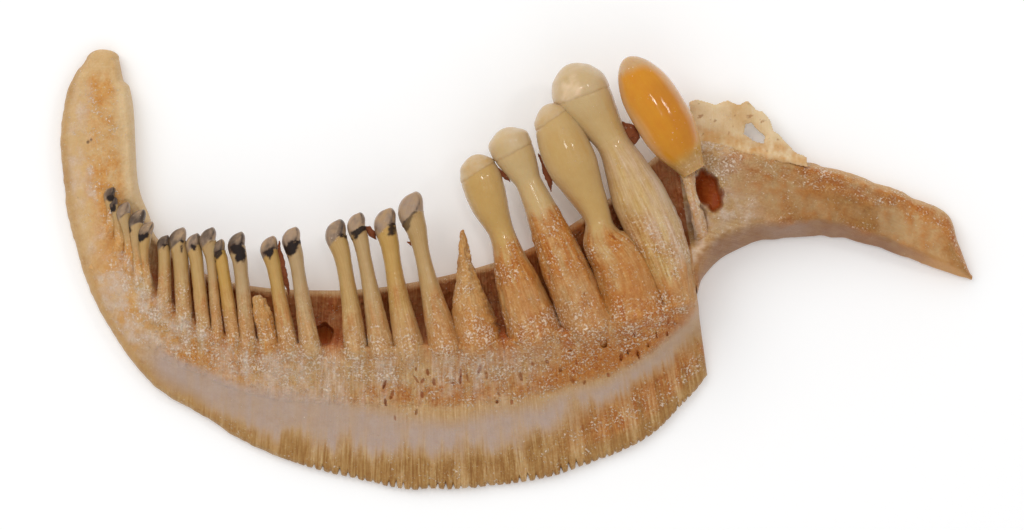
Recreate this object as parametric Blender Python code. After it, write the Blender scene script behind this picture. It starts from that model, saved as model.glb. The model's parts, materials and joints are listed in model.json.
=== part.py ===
"""Pharyngeal arch of a redhorse sucker: a sickle of bone with one row of teeth, lying on its back face.

The frame is X to the ventral limb, Y to the tooth tips and Z up from the table.
Sizes below are in millimetres, and every mesh is made in metres.
"""

import math
from typing import NamedTuple

import bmesh
import bpy
import numpy as np

MM = 0.001
CUT = 0.3  # gap between neighbouring nodes
LOWEST_ROUNDING = 0.05
TIP_SHARE = 0.12  # width of a tooth's last ring, as a share of its crown
CAP_RINGS = 5
ROOT_SINK = 0.72  # depth of a stem's middle below the lip, as a share of its half depth
STEM_RISE = 0.02  # how far a stem lifts from the lip for each millimetre of its length
RIB_SHARES = (0.5, 0.7, 0.85, 0.95)  # widths of a tooth's rib from its sunk end, as shares of the foot
RIB_STANDS = (-0.25, 0.1, 0.2, 0.26)  # its stand above the front face, as shares of the foot's half depth


class Station(NamedTuple):
    """One slice across the arch, from the inner rim (a) to the outer edge (b)."""

    rim: tuple
    edge: tuple
    lip_reach: float  # from the rim to the lip that the teeth stand on
    lip_height: float
    rim_height: float
    wing_width: float  # from the wing's root to the outer edge
    wing_height: float
    edge_height: float


# The arch from the tip of the dorsal limb, round the bend, to the end of the molar bed.
ARCH = [
    Station((-26.65, 14.2), (-28.9, 14.2), 0.9, 1.6, 1.3, 0.4, 1.4, 1.1),
    Station((-26.35, 12.8), (-30.0, 12.4), 1.7, 2.1, 1.6, 0.8, 1.9, 1.4),
    Station((-25.65, 10.1), (-30.6, 8.7), 2.4, 2.5, 1.8, 1.1, 2.2, 1.5),
    Station((-25.35, 5.9), (-30.1, 3.9), 2.6, 2.8, 1.8, 1.2, 2.3, 1.4),
    Station((-24.6, 3.7), (-28.4, -1.8), 2.6, 3.2, 1.9, 1.5, 2.3, 1.2),
    Station((-23.9, 2.0), (-24.8, -7.3), 3.2, 3.6, 1.9, 2.2, 2.2, 1.0),
    Station((-20.8, -0.2), (-21.4, -9.5), 3.4, 4.0, 2.0, 2.6, 2.3, 0.9),
    Station((-17.0, -1.1), (-17.8, -11.7), 3.6, 4.3, 2.1, 3.4, 2.4, 0.8),
    Station((-12.1, -1.3), (-12.8, -13.5), 3.8, 4.6, 2.2, 4.6, 2.5, 0.8),
    Station((-6.1, -0.6), (-6.1, -14.7), 4.4, 5.0, 2.3, 5.7, 2.6, 0.8),
    Station((0.2, 1.2), (1.9, -13.9), 5.6, 5.4, 2.5, 5.7, 2.6, 0.8),
    Station((5.6, 4.4), (8.2, -11.5), 7.8, 5.5, 2.7, 5.2, 2.6, 0.8),
    Station((9.0, 7.4), (11.6, -8.5), 9.8, 5.4, 2.6, 4.6, 2.5, 0.8),
    Station((10.6, 8.7), (12.8, -7.0), 10.7, 4.9, 2.4, 4.2, 2.3, 0.8),
]
DORSAL_CUT = 5.0  # station where the dorsal limb ends
MOLAR_CUT = 9.36  # station where the slender teeth end
ARCH_END = 13.0
DORSAL_TIP = ((0.85, 0.35), (0.45, 0.6))  # shrink and lift of each ring that rounds the tip
RIM_ROUND = 0.5
EDGE_ROUND = 0.35
SHELF_DIP = 0.2  # how far the shelf sinks below the rim, as a share of the lip's rise
BACK_FLAT = 1.0  # width of the two strips that lie on the table
BACK_HOLLOW = 0.7


class LimbSlice(NamedTuple):
    """One slice across the ventral limb, from its upper edge (a) to its lower edge (b)."""

    upper: tuple
    lower: tuple
    ridge_share: float
    upper_height: float
    ridge_height: float
    lower_height: float


# The ventral limb from just past its root on the arch to its pointed end.
VENTRAL_LIMB = [
    LimbSlice((12.3, 8.8), (12.5, -0.4), 0.78, 2.4, 4.5, 2.2),
    LimbSlice((14.2, 8.5), (14.1, 1.1), 0.78, 2.3, 4.2, 1.6),
    LimbSlice((16.9, 8.0), (16.8, 2.1), 0.78, 2.0, 3.9, 1.3),
    LimbSlice((19.6, 7.3), (19.6, 2.3), 0.74, 1.8, 3.6, 1.2),
    LimbSlice((22.9, 6.3), (22.6, 2.0), 0.75, 1.5, 3.2, 1.1),
    LimbSlice((25.9, 5.2), (25.6, 1.2), 0.80, 1.3, 2.8, 1.1),
    LimbSlice((28.8, 3.9), (27.9, 0.2), 0.80, 1.2, 2.3, 1.0),
    LimbSlice((29.6, 2.0), (29.1, -0.2), 0.70, 1.1, 1.8, 0.9),
    LimbSlice((30.3, 0.1), (30.2, -0.5), 0.50, 0.8, 1.0, 0.7),
]
LIMB_ROOT_REACH = 10.4  # how far down the arch's end face the limb's root spreads

# The thin crest over the root of the ventral limb, and the window in it.
CREST_TOP = [
    (11.6, 11.3), (12.1, 11.5), (13.4, 11.2), (14.2, 11.5), (14.9, 11.15), (15.5, 11.4),
    (16.0, 10.85), (16.5, 10.7), (17.0, 10.1), (17.2, 9.4), (17.8, 9.0), (18.5, 8.2),
]
CREST_WINDOW = [(15.3, 9.25), (15.45, 9.7), (15.75, 9.75), (16.5, 9.0), (16.5, 8.6), (15.85, 8.75)]
CREST_THICK = 0.6
CREST_HEIGHT = 1.2


class Tooth(NamedTuple):
    """One tooth, from its foot on the lip to its tip. The crown and neck are placed from the tip."""

    station: float
    tip: tuple
    crown: float
    crown_at: float
    neck: float
    neck_at: float
    base: float  # width a third of the way from the foot to the neck
    foot: float


def slender(station, tip, crown, neck, foot):
    """A slender tooth: a small crown on a stem that widens a little to its foot."""
    return Tooth(station, tip, crown, 0.6 * crown, neck, 2.6 * crown, 0.5 * (neck + foot), foot)


SLENDER_TEETH = [
    slender(3.50, (-27.1, 5.6), 0.80, 0.65, 0.80),
    slender(3.82, (-26.9, 4.9), 0.65, 0.60, 0.75),
    slender(4.18, (-26.2, 4.6), 1.00, 0.70, 0.80),
    slender(4.60, (-25.1, 4.1), 1.10, 0.70, 0.85),
    slender(4.83, (-24.5, 3.3), 1.00, 0.65, 0.80),
    slender(5.28, (-23.45, 2.4), 0.85, 0.85, 0.95),
    slender(5.68, (-22.5, 2.9), 1.20, 1.05, 1.15),
    slender(6.06, (-21.5, 2.5), 1.05, 0.90, 1.00),
    slender(6.32, (-20.5, 2.9), 1.15, 0.65, 0.80),
    slender(6.62, (-19.85, 2.1), 0.95, 0.85, 1.00),
    slender(6.86, (-18.6, 2.6), 1.20, 0.95, 1.15),
    slender(7.45, (-16.5, 2.3), 1.20, 0.95, 1.10),
    slender(7.74, (-15.0, 2.9), 1.25, 1.00, 1.15),
    slender(8.28, (-12.1, 3.4), 1.45, 1.15, 1.45),
    slender(8.56, (-10.7, 3.85), 1.25, 0.95, 1.45),
    slender(8.84, (-8.75, 4.15), 1.50, 1.20, 1.65),
    slender(9.20, (-7.1, 5.2), 1.75, 1.25, 1.50),
]
MOLARS = [
    Tooth(10.06, (-2.75, 7.75), 2.75, 1.6, 1.70, 5.7, 2.95, 3.10),
    Tooth(10.68, (-0.85, 9.50), 3.00, 1.4, 1.80, 4.5, 2.85, 3.10),
    Tooth(11.32, (1.90, 11.00), 3.50, 3.4, 1.90, 8.6, 4.00, 4.20),
    Tooth(12.12, (3.40, 13.60), 3.95, 2.0, 2.25, 6.1, 3.50, 2.00),
]
BROKEN_TEETH = [slender(7.18, (-17.2, -1.2), 0.35, 0.70, 1.30), slender(9.52, (-3.6, 2.8), 0.35, 0.70, 1.50)]

# The youngest molar stands on a strut beside a crypt in the root of the ventral limb.
YOUNG_TIP = (7.45, 14.3)
YOUNG_ROOT = (11.5, 6.7)
YOUNG_WIDTH = 3.75
YOUNG_HEIGHT = 5.0  # of its middle above the table
YOUNG_DROP = 0.9  # how far its root lies below that
STRUT = ((11.2, 7.3), (12.7, 1.9), 0.95)
CRYPTS = [((12.9, 5.3), 0.7, 1.45, 2.2), ((-12.95, -3.6), 0.55, 0.75, 1.3)]

# The outer edge is a comb of fine serrations in its middle stretch.
SERRATED = (7.5, 11.4)
SERRATION_PITCH = 0.62
SERRATION_DEPTH = 0.42

BONE = (0.74, 0.56, 0.36)
LIMB_BONE = (0.78, 0.61, 0.37)
WING_BONE = (0.66, 0.50, 0.36)
CREST_BONE = (0.82, 0.70, 0.46)


def smooth(x, knots, values):
    """The smooth curve through values at knots, read at each x. It is level at each peak and dip."""
    knots = np.asarray(knots, float)
    values = np.asarray(values, float)
    x = np.atleast_1d(np.asarray(x, float))
    slopes = np.gradient(values, knots, axis=0)
    rises = np.diff(values, axis=0)
    slopes[1:-1][rises[:-1] * rises[1:] <= 0] = 0
    i = np.clip(np.searchsorted(knots, x, side="right") - 1, 0, len(knots) - 2)
    span = knots[i + 1] - knots[i]
    u = (x - knots[i]) / span
    if values.ndim > 1:
        u = u[:, None]
        span = span[:, None]
    first = (2 * u**3 - 3 * u**2 + 1) * values[i] + (u**3 - 2 * u**2 + u) * span * slopes[i]
    second = (3 * u**2 - 2 * u**3) * values[i + 1] + (u**3 - u**2) * span * slopes[i + 1]
    return first + second


def step(x):
    """0 before 0, 1 after 1 and smooth between."""
    x = np.clip(x, 0, 1)
    return x * x * (3 - 2 * x)


def arch_at(station):
    """The arch's slice at any station, as a Station of arrays and numbers."""
    fields = []
    for field in zip(*ARCH):
        fields.append(smooth(station, range(len(ARCH)), field)[0])
    return Station(*fields)


def across(a, b):
    """The unit vector from a to b, the distance, and the unit normal that points along the bone."""
    span = np.subtract(b, a)
    length = np.linalg.norm(span)
    along = span / length
    return along, length, np.array([-along[1], along[0]])


def arch_front(row, reach):
    """Height of the front face at a distance from the rim."""
    width = across(row.rim, row.edge)[1]
    root = width - row.wing_width
    shelf = row.rim_height - SHELF_DIP * (row.lip_height - row.rim_height)
    rise = shelf + 0.25 * (row.lip_height - shelf)
    face = row.wing_height + 0.5 * (row.lip_height - row.wing_height)
    wing = row.edge_height + 0.38 * (row.wing_height - row.edge_height)
    knots = [0, 0.5 * row.lip_reach, 0.75 * row.lip_reach, row.lip_reach,
             0.5 * (row.lip_reach + root), root, root + 0.5 * row.wing_width, width]
    heights = [row.rim_height, shelf, rise, row.lip_height, face, row.wing_height, wing, row.edge_height]
    return smooth(reach, knots, heights)


def back_height(reach, width, hollow):
    """Height of the back face, which lies on the table along both of its sides."""
    ramp = 0.3 * width
    return hollow * step((reach - BACK_FLAT) / ramp) * step((width - BACK_FLAT - reach) / ramp)


def rounding(distance, radius):
    """Share of the full height at a distance from a rounded edge."""
    x = np.clip(distance / radius, 0, 1)
    return np.sqrt(1 - (1 - x) ** 2)


def ring_points(a, b, reach, front, back, shift=0.0):
    """The ring of 3-D points round a slice from a to b, moved along the bone by shift."""
    along, _, normal = across(a, b)
    order = np.concatenate([reach, reach[::-1]])
    heights = np.concatenate([front, back[::-1]])
    flat = np.asarray(a) + order[:, None] * along - shift * normal
    return np.column_stack([flat, heights])


def spread(first, last, count):
    """Distances from first to last, closer together at both ends."""
    return first + (last - first) * 0.5 * (1 - np.cos(np.pi * np.linspace(0, 1, count)))


def rounded(front, back, share):
    """Front and back pulled together to their middle where share is below 1."""
    middle = 0.5 * (front + back)
    share = np.maximum(share, LOWEST_ROUNDING)
    return middle + (front - middle) * share, middle + (back - middle) * share


def arch_ring(station, part, count, shift=0.0, notch=0.0, flute=0.0):
    """A ring of the arch: part is "whole", "bed" (rim to wing) or "wing"."""
    row = arch_at(station)
    width = across(row.rim, row.edge)[1]
    root = width - row.wing_width
    first = root + CUT / 2 if part == "wing" else 0.0
    last = root - CUT / 2 if part == "bed" else width - notch
    reach = spread(first, last, count)
    front = arch_front(row, reach)
    back = back_height(reach, width, BACK_HOLLOW * min(1.0, station / 2))
    share = np.ones(count)
    if part != "wing":
        share *= rounding(reach, RIM_ROUND)
    if part != "bed":
        share *= rounding(last - reach, EDGE_ROUND)
        front = front + flute * step((reach - root) / row.wing_width)
    front, back = rounded(front, back, share)
    return ring_points(row.rim, row.edge, reach, front, back, shift)


def limb_ring(row, count, shift=0.0):
    """A ring of the ventral limb."""
    width = across(row.upper, row.lower)[1]
    reach = spread(0, width, count)
    ridge = row.ridge_share * width
    middle = row.upper_height + 0.75 * (row.ridge_height - row.upper_height)
    front = smooth(reach, [0, 0.5 * ridge, ridge, width],
                   [row.upper_height, middle, row.ridge_height, row.lower_height])
    back = back_height(reach, width, 0.3)
    share = rounding(reach, RIM_ROUND) * rounding(width - reach, RIM_ROUND)
    front, back = rounded(front, back, share)
    return ring_points(row.upper, row.lower, reach, front, back, shift)


def loft(name, rings):
    """A closed mesh object through rings of points, in millimetres, with flat ends."""
    count = len(rings[0])
    points = np.concatenate(rings) * MM
    faces = [list(range(count))[::-1], [len(points) - count + i for i in range(count)]]
    for row in range(len(rings) - 1):
        for i in range(count):
            near = row * count + i
            after = row * count + (i + 1) % count
            faces.append([near, after, after + count, near + count])
    mesh = bpy.data.meshes.new(name)
    mesh.from_pydata(points.tolist(), [], faces)
    tidy(mesh, doubles=1e-6)
    made = bpy.data.objects.new(name, mesh)
    bpy.context.scene.collection.objects.link(made)
    return made


def tidy(mesh, doubles):
    """Merges doubles, splits the faces into triangles and turns them outwards."""
    form = bmesh.new()
    form.from_mesh(mesh)
    bmesh.ops.remove_doubles(form, verts=form.verts, dist=doubles)
    bmesh.ops.triangulate(form, faces=form.faces)
    bmesh.ops.recalc_face_normals(form, faces=form.faces)
    form.to_mesh(mesh)
    form.free()


def keep_largest(mesh):
    """Leaves only the closed surface with the most faces."""
    form = bmesh.new()
    form.from_mesh(mesh)
    left = set(form.faces)
    largest = set()
    while left:
        group = {left.pop()}
        edge = list(group)
        while edge:
            face = edge.pop()
            for side in face.edges:
                for other in side.link_faces:
                    if other in left:
                        left.discard(other)
                        group.add(other)
                        edge.append(other)
        if len(group) > len(largest):
            largest = group
    bmesh.ops.delete(form, geom=[f for f in form.faces if f not in largest], context="FACES")
    bmesh.ops.triangulate(form, faces=form.faces)
    form.to_mesh(mesh)
    form.free()


def joined(body, pieces, operation):
    """Body with the pieces joined to it or cut from it, as one closed surface."""
    group = bpy.data.collections.new("pieces of " + body.name)
    bpy.context.scene.collection.children.link(group)
    for piece in pieces:
        for home in list(piece.users_collection):
            home.objects.unlink(piece)
        group.objects.link(piece)
    boolean = body.modifiers.new("join", "BOOLEAN")
    boolean.operation = operation
    boolean.operand_type = "COLLECTION"
    boolean.collection = group
    boolean.solver = "EXACT"
    graph = bpy.context.evaluated_depsgraph_get()
    mesh = bpy.data.meshes.new_from_object(body.evaluated_get(graph))
    body.modifiers.clear()
    body.data = mesh
    for piece in pieces:
        bpy.data.objects.remove(piece)
    bpy.data.collections.remove(group)
    keep_largest(mesh)
    return body


def tooth_widths(tooth, reach, count):
    """Distances from the foot and half widths along a tooth, from its foot to its tip."""
    widest = reach - tooth.crown_at
    narrow = max(0.2 * reach, reach - tooth.neck_at)
    lower = np.linspace(0, widest, count)
    half = 0.5 * smooth(lower, [0, narrow / 3, narrow, widest], [tooth.foot, tooth.base, tooth.neck, tooth.crown])
    angles = np.linspace(0, math.pi / 2, CAP_RINGS + 1)[1:]
    upper = widest + (reach - widest) * np.sin(angles)
    cap = 0.5 * tooth.crown * np.maximum(np.cos(angles), TIP_SHARE)
    return np.concatenate([lower, upper]), np.concatenate([half, cap])


def tube(name, centres, half_widths, half_depths, sides):
    """A loft of ellipses along a path: widths lie in the table's plane, depths stand over it."""
    centres = np.asarray(centres, float)
    tangents = np.gradient(centres, axis=0)
    tangents /= np.linalg.norm(tangents, axis=1)[:, None]
    turns = np.arange(sides) * 2 * math.pi / sides
    rings = []
    for centre, tangent, wide, deep in zip(centres, tangents, half_widths, half_depths):
        side = np.cross(tangent, (0, 0, 1))
        side /= np.linalg.norm(side)
        up = np.cross(side, tangent)
        rings.append(centre + np.outer(np.cos(turns) * wide, side) + np.outer(np.sin(turns) * deep, up))
    return loft(name, rings)


def lip_point(station):
    """The place on the lip, the direction down the front face, and the slice there."""
    row = arch_at(station)
    along = across(row.rim, row.edge)[0]
    return np.asarray(row.rim) + along * row.lip_reach, along, row


def tooth_object(tooth, flatness, rib, sides, steps):
    """A tooth with the rib that roots it in the front face. Flatness is its depth over its width."""
    foot, down, row = lip_point(tooth.station)
    reach = np.linalg.norm(np.subtract(tooth.tip, foot))
    lengths, half = tooth_widths(tooth, reach, steps)
    depth = half * flatness
    flat = foot + lengths[:, None] / reach * np.subtract(tooth.tip, foot)
    stem = np.column_stack([flat, row.lip_height - ROOT_SINK * depth[0] + STEM_RISE * lengths])
    room = across(row.rim, row.edge)[1] - row.wing_width - CUT - 0.6 * half[0] - row.lip_reach
    share = np.array(RIB_SHARES)
    heading = down - np.subtract(tooth.tip, foot) / reach
    heading /= np.linalg.norm(heading)
    rib_length = np.linspace(1, 0, len(share) + 1)[:-1] * min(rib, room / (heading @ down))
    rib_depth = share * depth[0]
    rib_top = arch_front(row, row.lip_reach + rib_length * (heading @ down)) + np.array(RIB_STANDS) * depth[0]
    rib_centres = np.column_stack([foot + rib_length[:, None] * heading, rib_top - rib_depth])
    return tube("tooth", np.vstack([rib_centres, stem]), np.concatenate([share * half[0], half]),
                np.concatenate([rib_depth, depth]), sides)


def slender_tooth(tooth):
    return tooth_object(tooth, 1.25, 2.6, 8, 6)


def molar(tooth):
    return tooth_object(tooth, 0.95, 3.4, 14, 9)


def broken_tooth(tooth):
    return tooth_object(tooth, 1.0, 1.6, 8, 5)


def young_molar():
    """The youngest molar: a plump crown that narrows to its struts."""
    length = np.linalg.norm(np.subtract(YOUNG_ROOT, YOUNG_TIP))
    shape = Tooth(ARCH_END, YOUNG_TIP, YOUNG_WIDTH, 0.5 * length, 3.0, 0.78 * length, 2.4, 1.6)
    lengths, half = tooth_widths(shape, length, 7)
    rise = np.subtract(YOUNG_TIP, YOUNG_ROOT) / length
    flat = np.asarray(YOUNG_ROOT) + lengths[:, None] * rise
    heights = YOUNG_HEIGHT - YOUNG_DROP * (1 - step(lengths / (0.5 * length)))
    pieces = [tube("crown", np.column_stack([flat, heights]), half, 0.95 * half, 14)]
    start, end, wide = STRUT
    path = [(*start, 4.2), (*np.add(start, end) / 2, 4.4), (*end, 3.9)]
    halves = np.array([0.6, 0.45, 0.6]) * wide
    pieces.append(tube("strut", path, halves, halves, 8))
    return pieces


def crypt(centre, half_width, half_length, floor):
    """A cutter for a crypt: an upright hollow whose floor is at a height above the table."""
    depth = 3.0
    bpy.ops.mesh.primitive_uv_sphere_add(segments=12, ring_count=8, radius=MM)
    cutter = bpy.context.object
    cutter.location = (centre[0] * MM, centre[1] * MM, (floor + depth) * MM)
    cutter.scale = (half_width, half_length, depth)
    cutter.rotation_euler = (0, 0, math.radians(12))
    bpy.ops.object.transform_apply(location=True, rotation=True, scale=True)
    return cutter


def finished(made, name, colour, roughness):
    """Names the node, gives it its own material and shades it smooth."""
    made.name = name
    made.data.name = name
    paint = bpy.data.materials.new(name)
    paint.use_nodes = True
    shader = paint.node_tree.nodes["Principled BSDF"]
    shader.inputs["Base Color"].default_value = (*colour, 1)
    shader.inputs["Roughness"].default_value = roughness
    shader.inputs["Metallic"].default_value = 0
    made.data.materials.clear()
    made.data.materials.append(paint)
    made.data.shade_smooth()
    made.data.set_sharp_from_angle(angle=math.radians(50))
    bpy.data.collections["pharyngeal_arch"].objects.link(made)
    bpy.context.scene.collection.objects.unlink(made)
    return made


def stations_between(first, last, step_size):
    return np.linspace(first, last, max(2, round((last - first) / step_size) + 1))


def bed_rings(first, last, count):
    """Rings of a tooth bed between two cuts."""
    places = stations_between(first, last, 0.15)
    rings = [arch_ring(place, "bed", count) for place in places]
    rings[0] = arch_ring(first, "bed", count, CUT / 2 * -1)
    rings[-1] = arch_ring(last, "bed", count, CUT / 2)
    return rings


def make_dorsal_limb():
    places = stations_between(0, DORSAL_CUT, 0.2)
    rings = [arch_ring(place, "whole", 9) for place in places]
    rings[-1] = arch_ring(DORSAL_CUT, "whole", 9, CUT / 2)
    middle = rings[0].mean(axis=0)
    for shrink, lift in DORSAL_TIP:
        tip = middle + shrink * (rings[0] - middle) + np.array([0.15, lift, 0])
        rings.insert(0, tip)
    body = loft("dorsal_limb", rings)
    teeth = [slender_tooth(tooth) for tooth in SLENDER_TEETH if tooth.station < DORSAL_CUT]
    finished(joined(body, teeth, "UNION"), "dorsal_limb", LIMB_BONE, 0.5)


def make_comb_bed():
    body = loft("comb_bed", bed_rings(DORSAL_CUT, MOLAR_CUT, 10))
    teeth = [slender_tooth(tooth) for tooth in SLENDER_TEETH if tooth.station > DORSAL_CUT]
    teeth += [broken_tooth(BROKEN_TEETH[0])]
    joined(body, [crypt(*CRYPTS[1])], "DIFFERENCE")
    finished(joined(body, teeth, "UNION"), "comb_bed", BONE, 0.6)


def make_molar_bed():
    body = loft("molar_bed", bed_rings(MOLAR_CUT, ARCH_END, 12))
    teeth = [molar(tooth) for tooth in MOLARS] + [broken_tooth(BROKEN_TEETH[1])]
    finished(joined(body, teeth, "UNION"), "molar_bed", BONE, 0.6)


def edge_length(first, last):
    """Length of the outer edge between two stations."""
    edges = np.array([arch_at(place).edge for place in np.linspace(first, last, 60)])
    return np.linalg.norm(np.diff(edges, axis=0), axis=1).sum()


def make_lateral_wing():
    """The thin wing along the outer edge. Each serration takes two rings, a tip and a notch."""
    first, last = SERRATED
    serrations = round(edge_length(first, last) / SERRATION_PITCH)
    count = 6
    rings = [arch_ring(place, "wing", count) for place in stations_between(DORSAL_CUT, first, 0.25)]
    rings[0] = arch_ring(DORSAL_CUT, "wing", count, -CUT / 2)
    for i, place in enumerate(np.linspace(first, last, 2 * serrations + 1)[1:-1]):
        valley = i % 2 == 0
        depth = SERRATION_DEPTH * math.sin(math.pi * (i + 1) / (2 * serrations)) ** 0.5
        rings.append(arch_ring(place, "wing", count, 0.0, depth if valley else 0.0, -0.06 if valley else 0.06))
    rings += [arch_ring(place, "wing", count) for place in stations_between(last, ARCH_END, 0.25)]
    finished(loft("lateral_wing", rings), "lateral_wing", WING_BONE, 0.45)


def make_ventral_limb():
    end = arch_at(ARCH_END)
    along = across(end.rim, end.edge)[0]
    root = LimbSlice(tuple(end.rim), tuple(end.rim + along * LIMB_ROOT_REACH), 0.75, 2.4, 4.6, 3.4)
    rows = [root, *VENTRAL_LIMB]
    places = np.linspace(0, len(rows) - 1, 3 * len(rows) - 2)
    rings = []
    for place in places:
        row = LimbSlice(*[smooth(place, range(len(rows)), field)[0] for field in zip(*rows)])
        rings.append(limb_ring(row, 9))
    rings[0] = limb_ring(root, 9, -CUT / 2)
    body = loft("ventral_limb", rings)
    joined(body, [crypt(*CRYPTS[0])], "DIFFERENCE")
    finished(joined(body, young_molar(), "UNION"), "ventral_limb", LIMB_BONE, 0.5)


def make_crest():
    """The thin crest, a flat outline with a window, standing a gap away from the limb's upper edge."""
    uppers = [row.upper for row in VENTRAL_LIMB[:4]]
    foot = [np.add(point, (0, CUT + 0.02)) for point in uppers]
    foot[-1] = np.array([CREST_TOP[-1][0], CREST_TOP[-1][1] - 0.05])
    outline = CREST_TOP + [tuple(point) for point in foot[::-1]]
    shape = bpy.data.curves.new("ventral_crest", "CURVE")
    shape.dimensions = "2D"
    shape.fill_mode = "BOTH"
    shape.extrude = CREST_THICK / 2 * MM
    for points in (outline, CREST_WINDOW):
        line = shape.splines.new("POLY")
        line.points.add(len(points) - 1)
        line.use_cyclic_u = True
        for place, point in zip(line.points, points):
            place.co = (point[0] * MM, point[1] * MM, 0, 1)
    guide = bpy.data.objects.new("crest outline", shape)
    guide.location = (0, 0, CREST_HEIGHT * MM)
    bpy.context.scene.collection.objects.link(guide)
    graph = bpy.context.evaluated_depsgraph_get()
    mesh = bpy.data.meshes.new_from_object(guide.evaluated_get(graph))
    mesh.transform(guide.matrix_world)
    bpy.data.objects.remove(guide)
    tidy(mesh, doubles=1e-6)
    made = bpy.data.objects.new("ventral_crest", mesh)
    bpy.context.scene.collection.objects.link(made)
    finished(made, "ventral_crest", CREST_BONE, 0.4)


def main():
    for old in list(bpy.data.objects):
        bpy.data.objects.remove(old)
    group = bpy.data.collections.new("pharyngeal_arch")
    bpy.context.scene.collection.children.link(group)
    make_dorsal_limb()
    make_comb_bed()
    make_molar_bed()
    make_lateral_wing()
    make_ventral_limb()
    make_crest()


main()
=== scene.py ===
"""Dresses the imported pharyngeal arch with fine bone, teeth, dried tissue and studio light.

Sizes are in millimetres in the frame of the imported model, and every mesh is made in metres.
"""

import itertools
import json
import math
from typing import NamedTuple

import bpy
import numpy as np
from bpy.props import FloatProperty, FloatVectorProperty, IntProperty, PointerProperty
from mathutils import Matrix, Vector
from mathutils.kdtree import KDTree

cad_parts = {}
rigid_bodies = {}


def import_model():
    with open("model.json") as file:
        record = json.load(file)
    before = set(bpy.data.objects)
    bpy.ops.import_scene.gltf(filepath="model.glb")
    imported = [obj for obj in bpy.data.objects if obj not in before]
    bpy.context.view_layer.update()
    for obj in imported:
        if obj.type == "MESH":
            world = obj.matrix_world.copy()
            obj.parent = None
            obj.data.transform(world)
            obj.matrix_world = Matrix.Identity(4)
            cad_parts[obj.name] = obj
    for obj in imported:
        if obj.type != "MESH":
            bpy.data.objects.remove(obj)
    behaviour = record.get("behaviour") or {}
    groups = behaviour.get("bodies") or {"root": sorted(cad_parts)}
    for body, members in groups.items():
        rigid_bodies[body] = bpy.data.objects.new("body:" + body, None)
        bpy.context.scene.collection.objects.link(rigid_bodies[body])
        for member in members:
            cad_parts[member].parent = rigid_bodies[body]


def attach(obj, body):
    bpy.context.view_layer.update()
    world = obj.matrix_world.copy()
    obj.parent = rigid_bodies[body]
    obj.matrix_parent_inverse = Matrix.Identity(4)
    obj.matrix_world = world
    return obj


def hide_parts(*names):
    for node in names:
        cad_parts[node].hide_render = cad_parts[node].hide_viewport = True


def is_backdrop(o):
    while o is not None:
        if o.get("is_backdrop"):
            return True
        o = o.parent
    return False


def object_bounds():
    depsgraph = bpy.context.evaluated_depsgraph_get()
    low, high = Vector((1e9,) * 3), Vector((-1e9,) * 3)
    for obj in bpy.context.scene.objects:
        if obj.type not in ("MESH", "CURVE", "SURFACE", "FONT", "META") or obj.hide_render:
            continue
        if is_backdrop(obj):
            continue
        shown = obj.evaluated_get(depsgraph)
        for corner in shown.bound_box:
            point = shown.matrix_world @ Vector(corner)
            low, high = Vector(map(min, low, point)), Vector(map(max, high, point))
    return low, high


bl_info = {
    "name": "Pharyngeal Tooth Arch",
    "version": (1, 0, 0),
    "blender": (4, 5, 0),
    "location": "3D View > Sidebar > Arch",
    "description": "Makes a fish's throat bone with its teeth, piece by piece, around the packed model",
    "category": "Object",
}

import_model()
CAD_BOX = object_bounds()

MM = 0.001
SHEET = 0.01  # surface UVs are in tenths of a metre, so a millimetre is a hundredth


class Station(NamedTuple):
    """One slice across the arch, from the inner rim to the outer edge."""

    rim: tuple
    edge: tuple
    lip_reach: float
    lip_height: float
    rim_height: float
    wing_width: float
    wing_height: float
    edge_height: float


# The arch from the tip of the dorsal limb, round the bend, to the end of the molar bed.
ARCH = [
    Station((-26.65, 14.2), (-28.9, 14.2), 0.9, 1.6, 1.3, 0.4, 1.4, 1.1),
    Station((-26.35, 12.8), (-30.0, 12.4), 1.7, 2.1, 1.6, 0.8, 1.9, 1.4),
    Station((-25.65, 10.1), (-30.6, 8.7), 2.4, 2.5, 1.8, 1.1, 2.2, 1.5),
    Station((-25.35, 5.9), (-30.1, 3.9), 2.6, 2.8, 1.8, 1.2, 2.3, 1.4),
    Station((-24.6, 3.7), (-28.4, -1.8), 2.6, 3.2, 1.9, 1.5, 2.3, 1.2),
    Station((-23.9, 2.0), (-24.8, -7.3), 3.2, 3.6, 1.9, 2.2, 2.2, 1.0),
    Station((-20.8, -0.2), (-21.4, -9.5), 3.4, 4.0, 2.0, 2.6, 2.3, 0.9),
    Station((-17.0, -1.1), (-17.8, -11.7), 3.6, 4.3, 2.1, 3.4, 2.4, 0.8),
    Station((-12.1, -1.3), (-12.8, -13.5), 3.8, 4.6, 2.2, 4.6, 2.5, 0.8),
    Station((-6.1, -0.6), (-6.1, -14.7), 4.4, 5.0, 2.3, 5.7, 2.6, 0.8),
    Station((0.2, 1.2), (1.9, -13.9), 5.6, 5.4, 2.5, 5.7, 2.6, 0.8),
    Station((5.6, 4.4), (8.2, -11.5), 7.8, 5.5, 2.7, 5.2, 2.6, 0.8),
    Station((9.0, 7.4), (11.6, -8.5), 9.8, 5.4, 2.6, 4.6, 2.5, 0.8),
    Station((10.6, 8.7), (12.8, -7.0), 10.7, 4.9, 2.4, 4.2, 2.3, 0.8),
]
DORSAL_CUT = 5.0
MOLAR_CUT = 9.36
ARCH_END = 13.0
RIM_ROUND = 0.5
EDGE_ROUND = 0.35
SHELF_DIP = 0.2
BACK_FLAT = 1.0
BACK_HOLLOW = 0.7
LOWEST_ROUNDING = 0.02
LEAST_THICK = 0.3
BED_POINTS = 169  # across the bed, one more than a multiple of BACK_STRIDE
WING_POINTS = 89
LIMB_POINTS = 129
BACK_STRIDE = 4
TIP_RINGS = 14  # rings that round the dorsal tip, and how far they stand past the first slice
TIP_LIFT = 0.66
END_ROUND = 0.6


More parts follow.
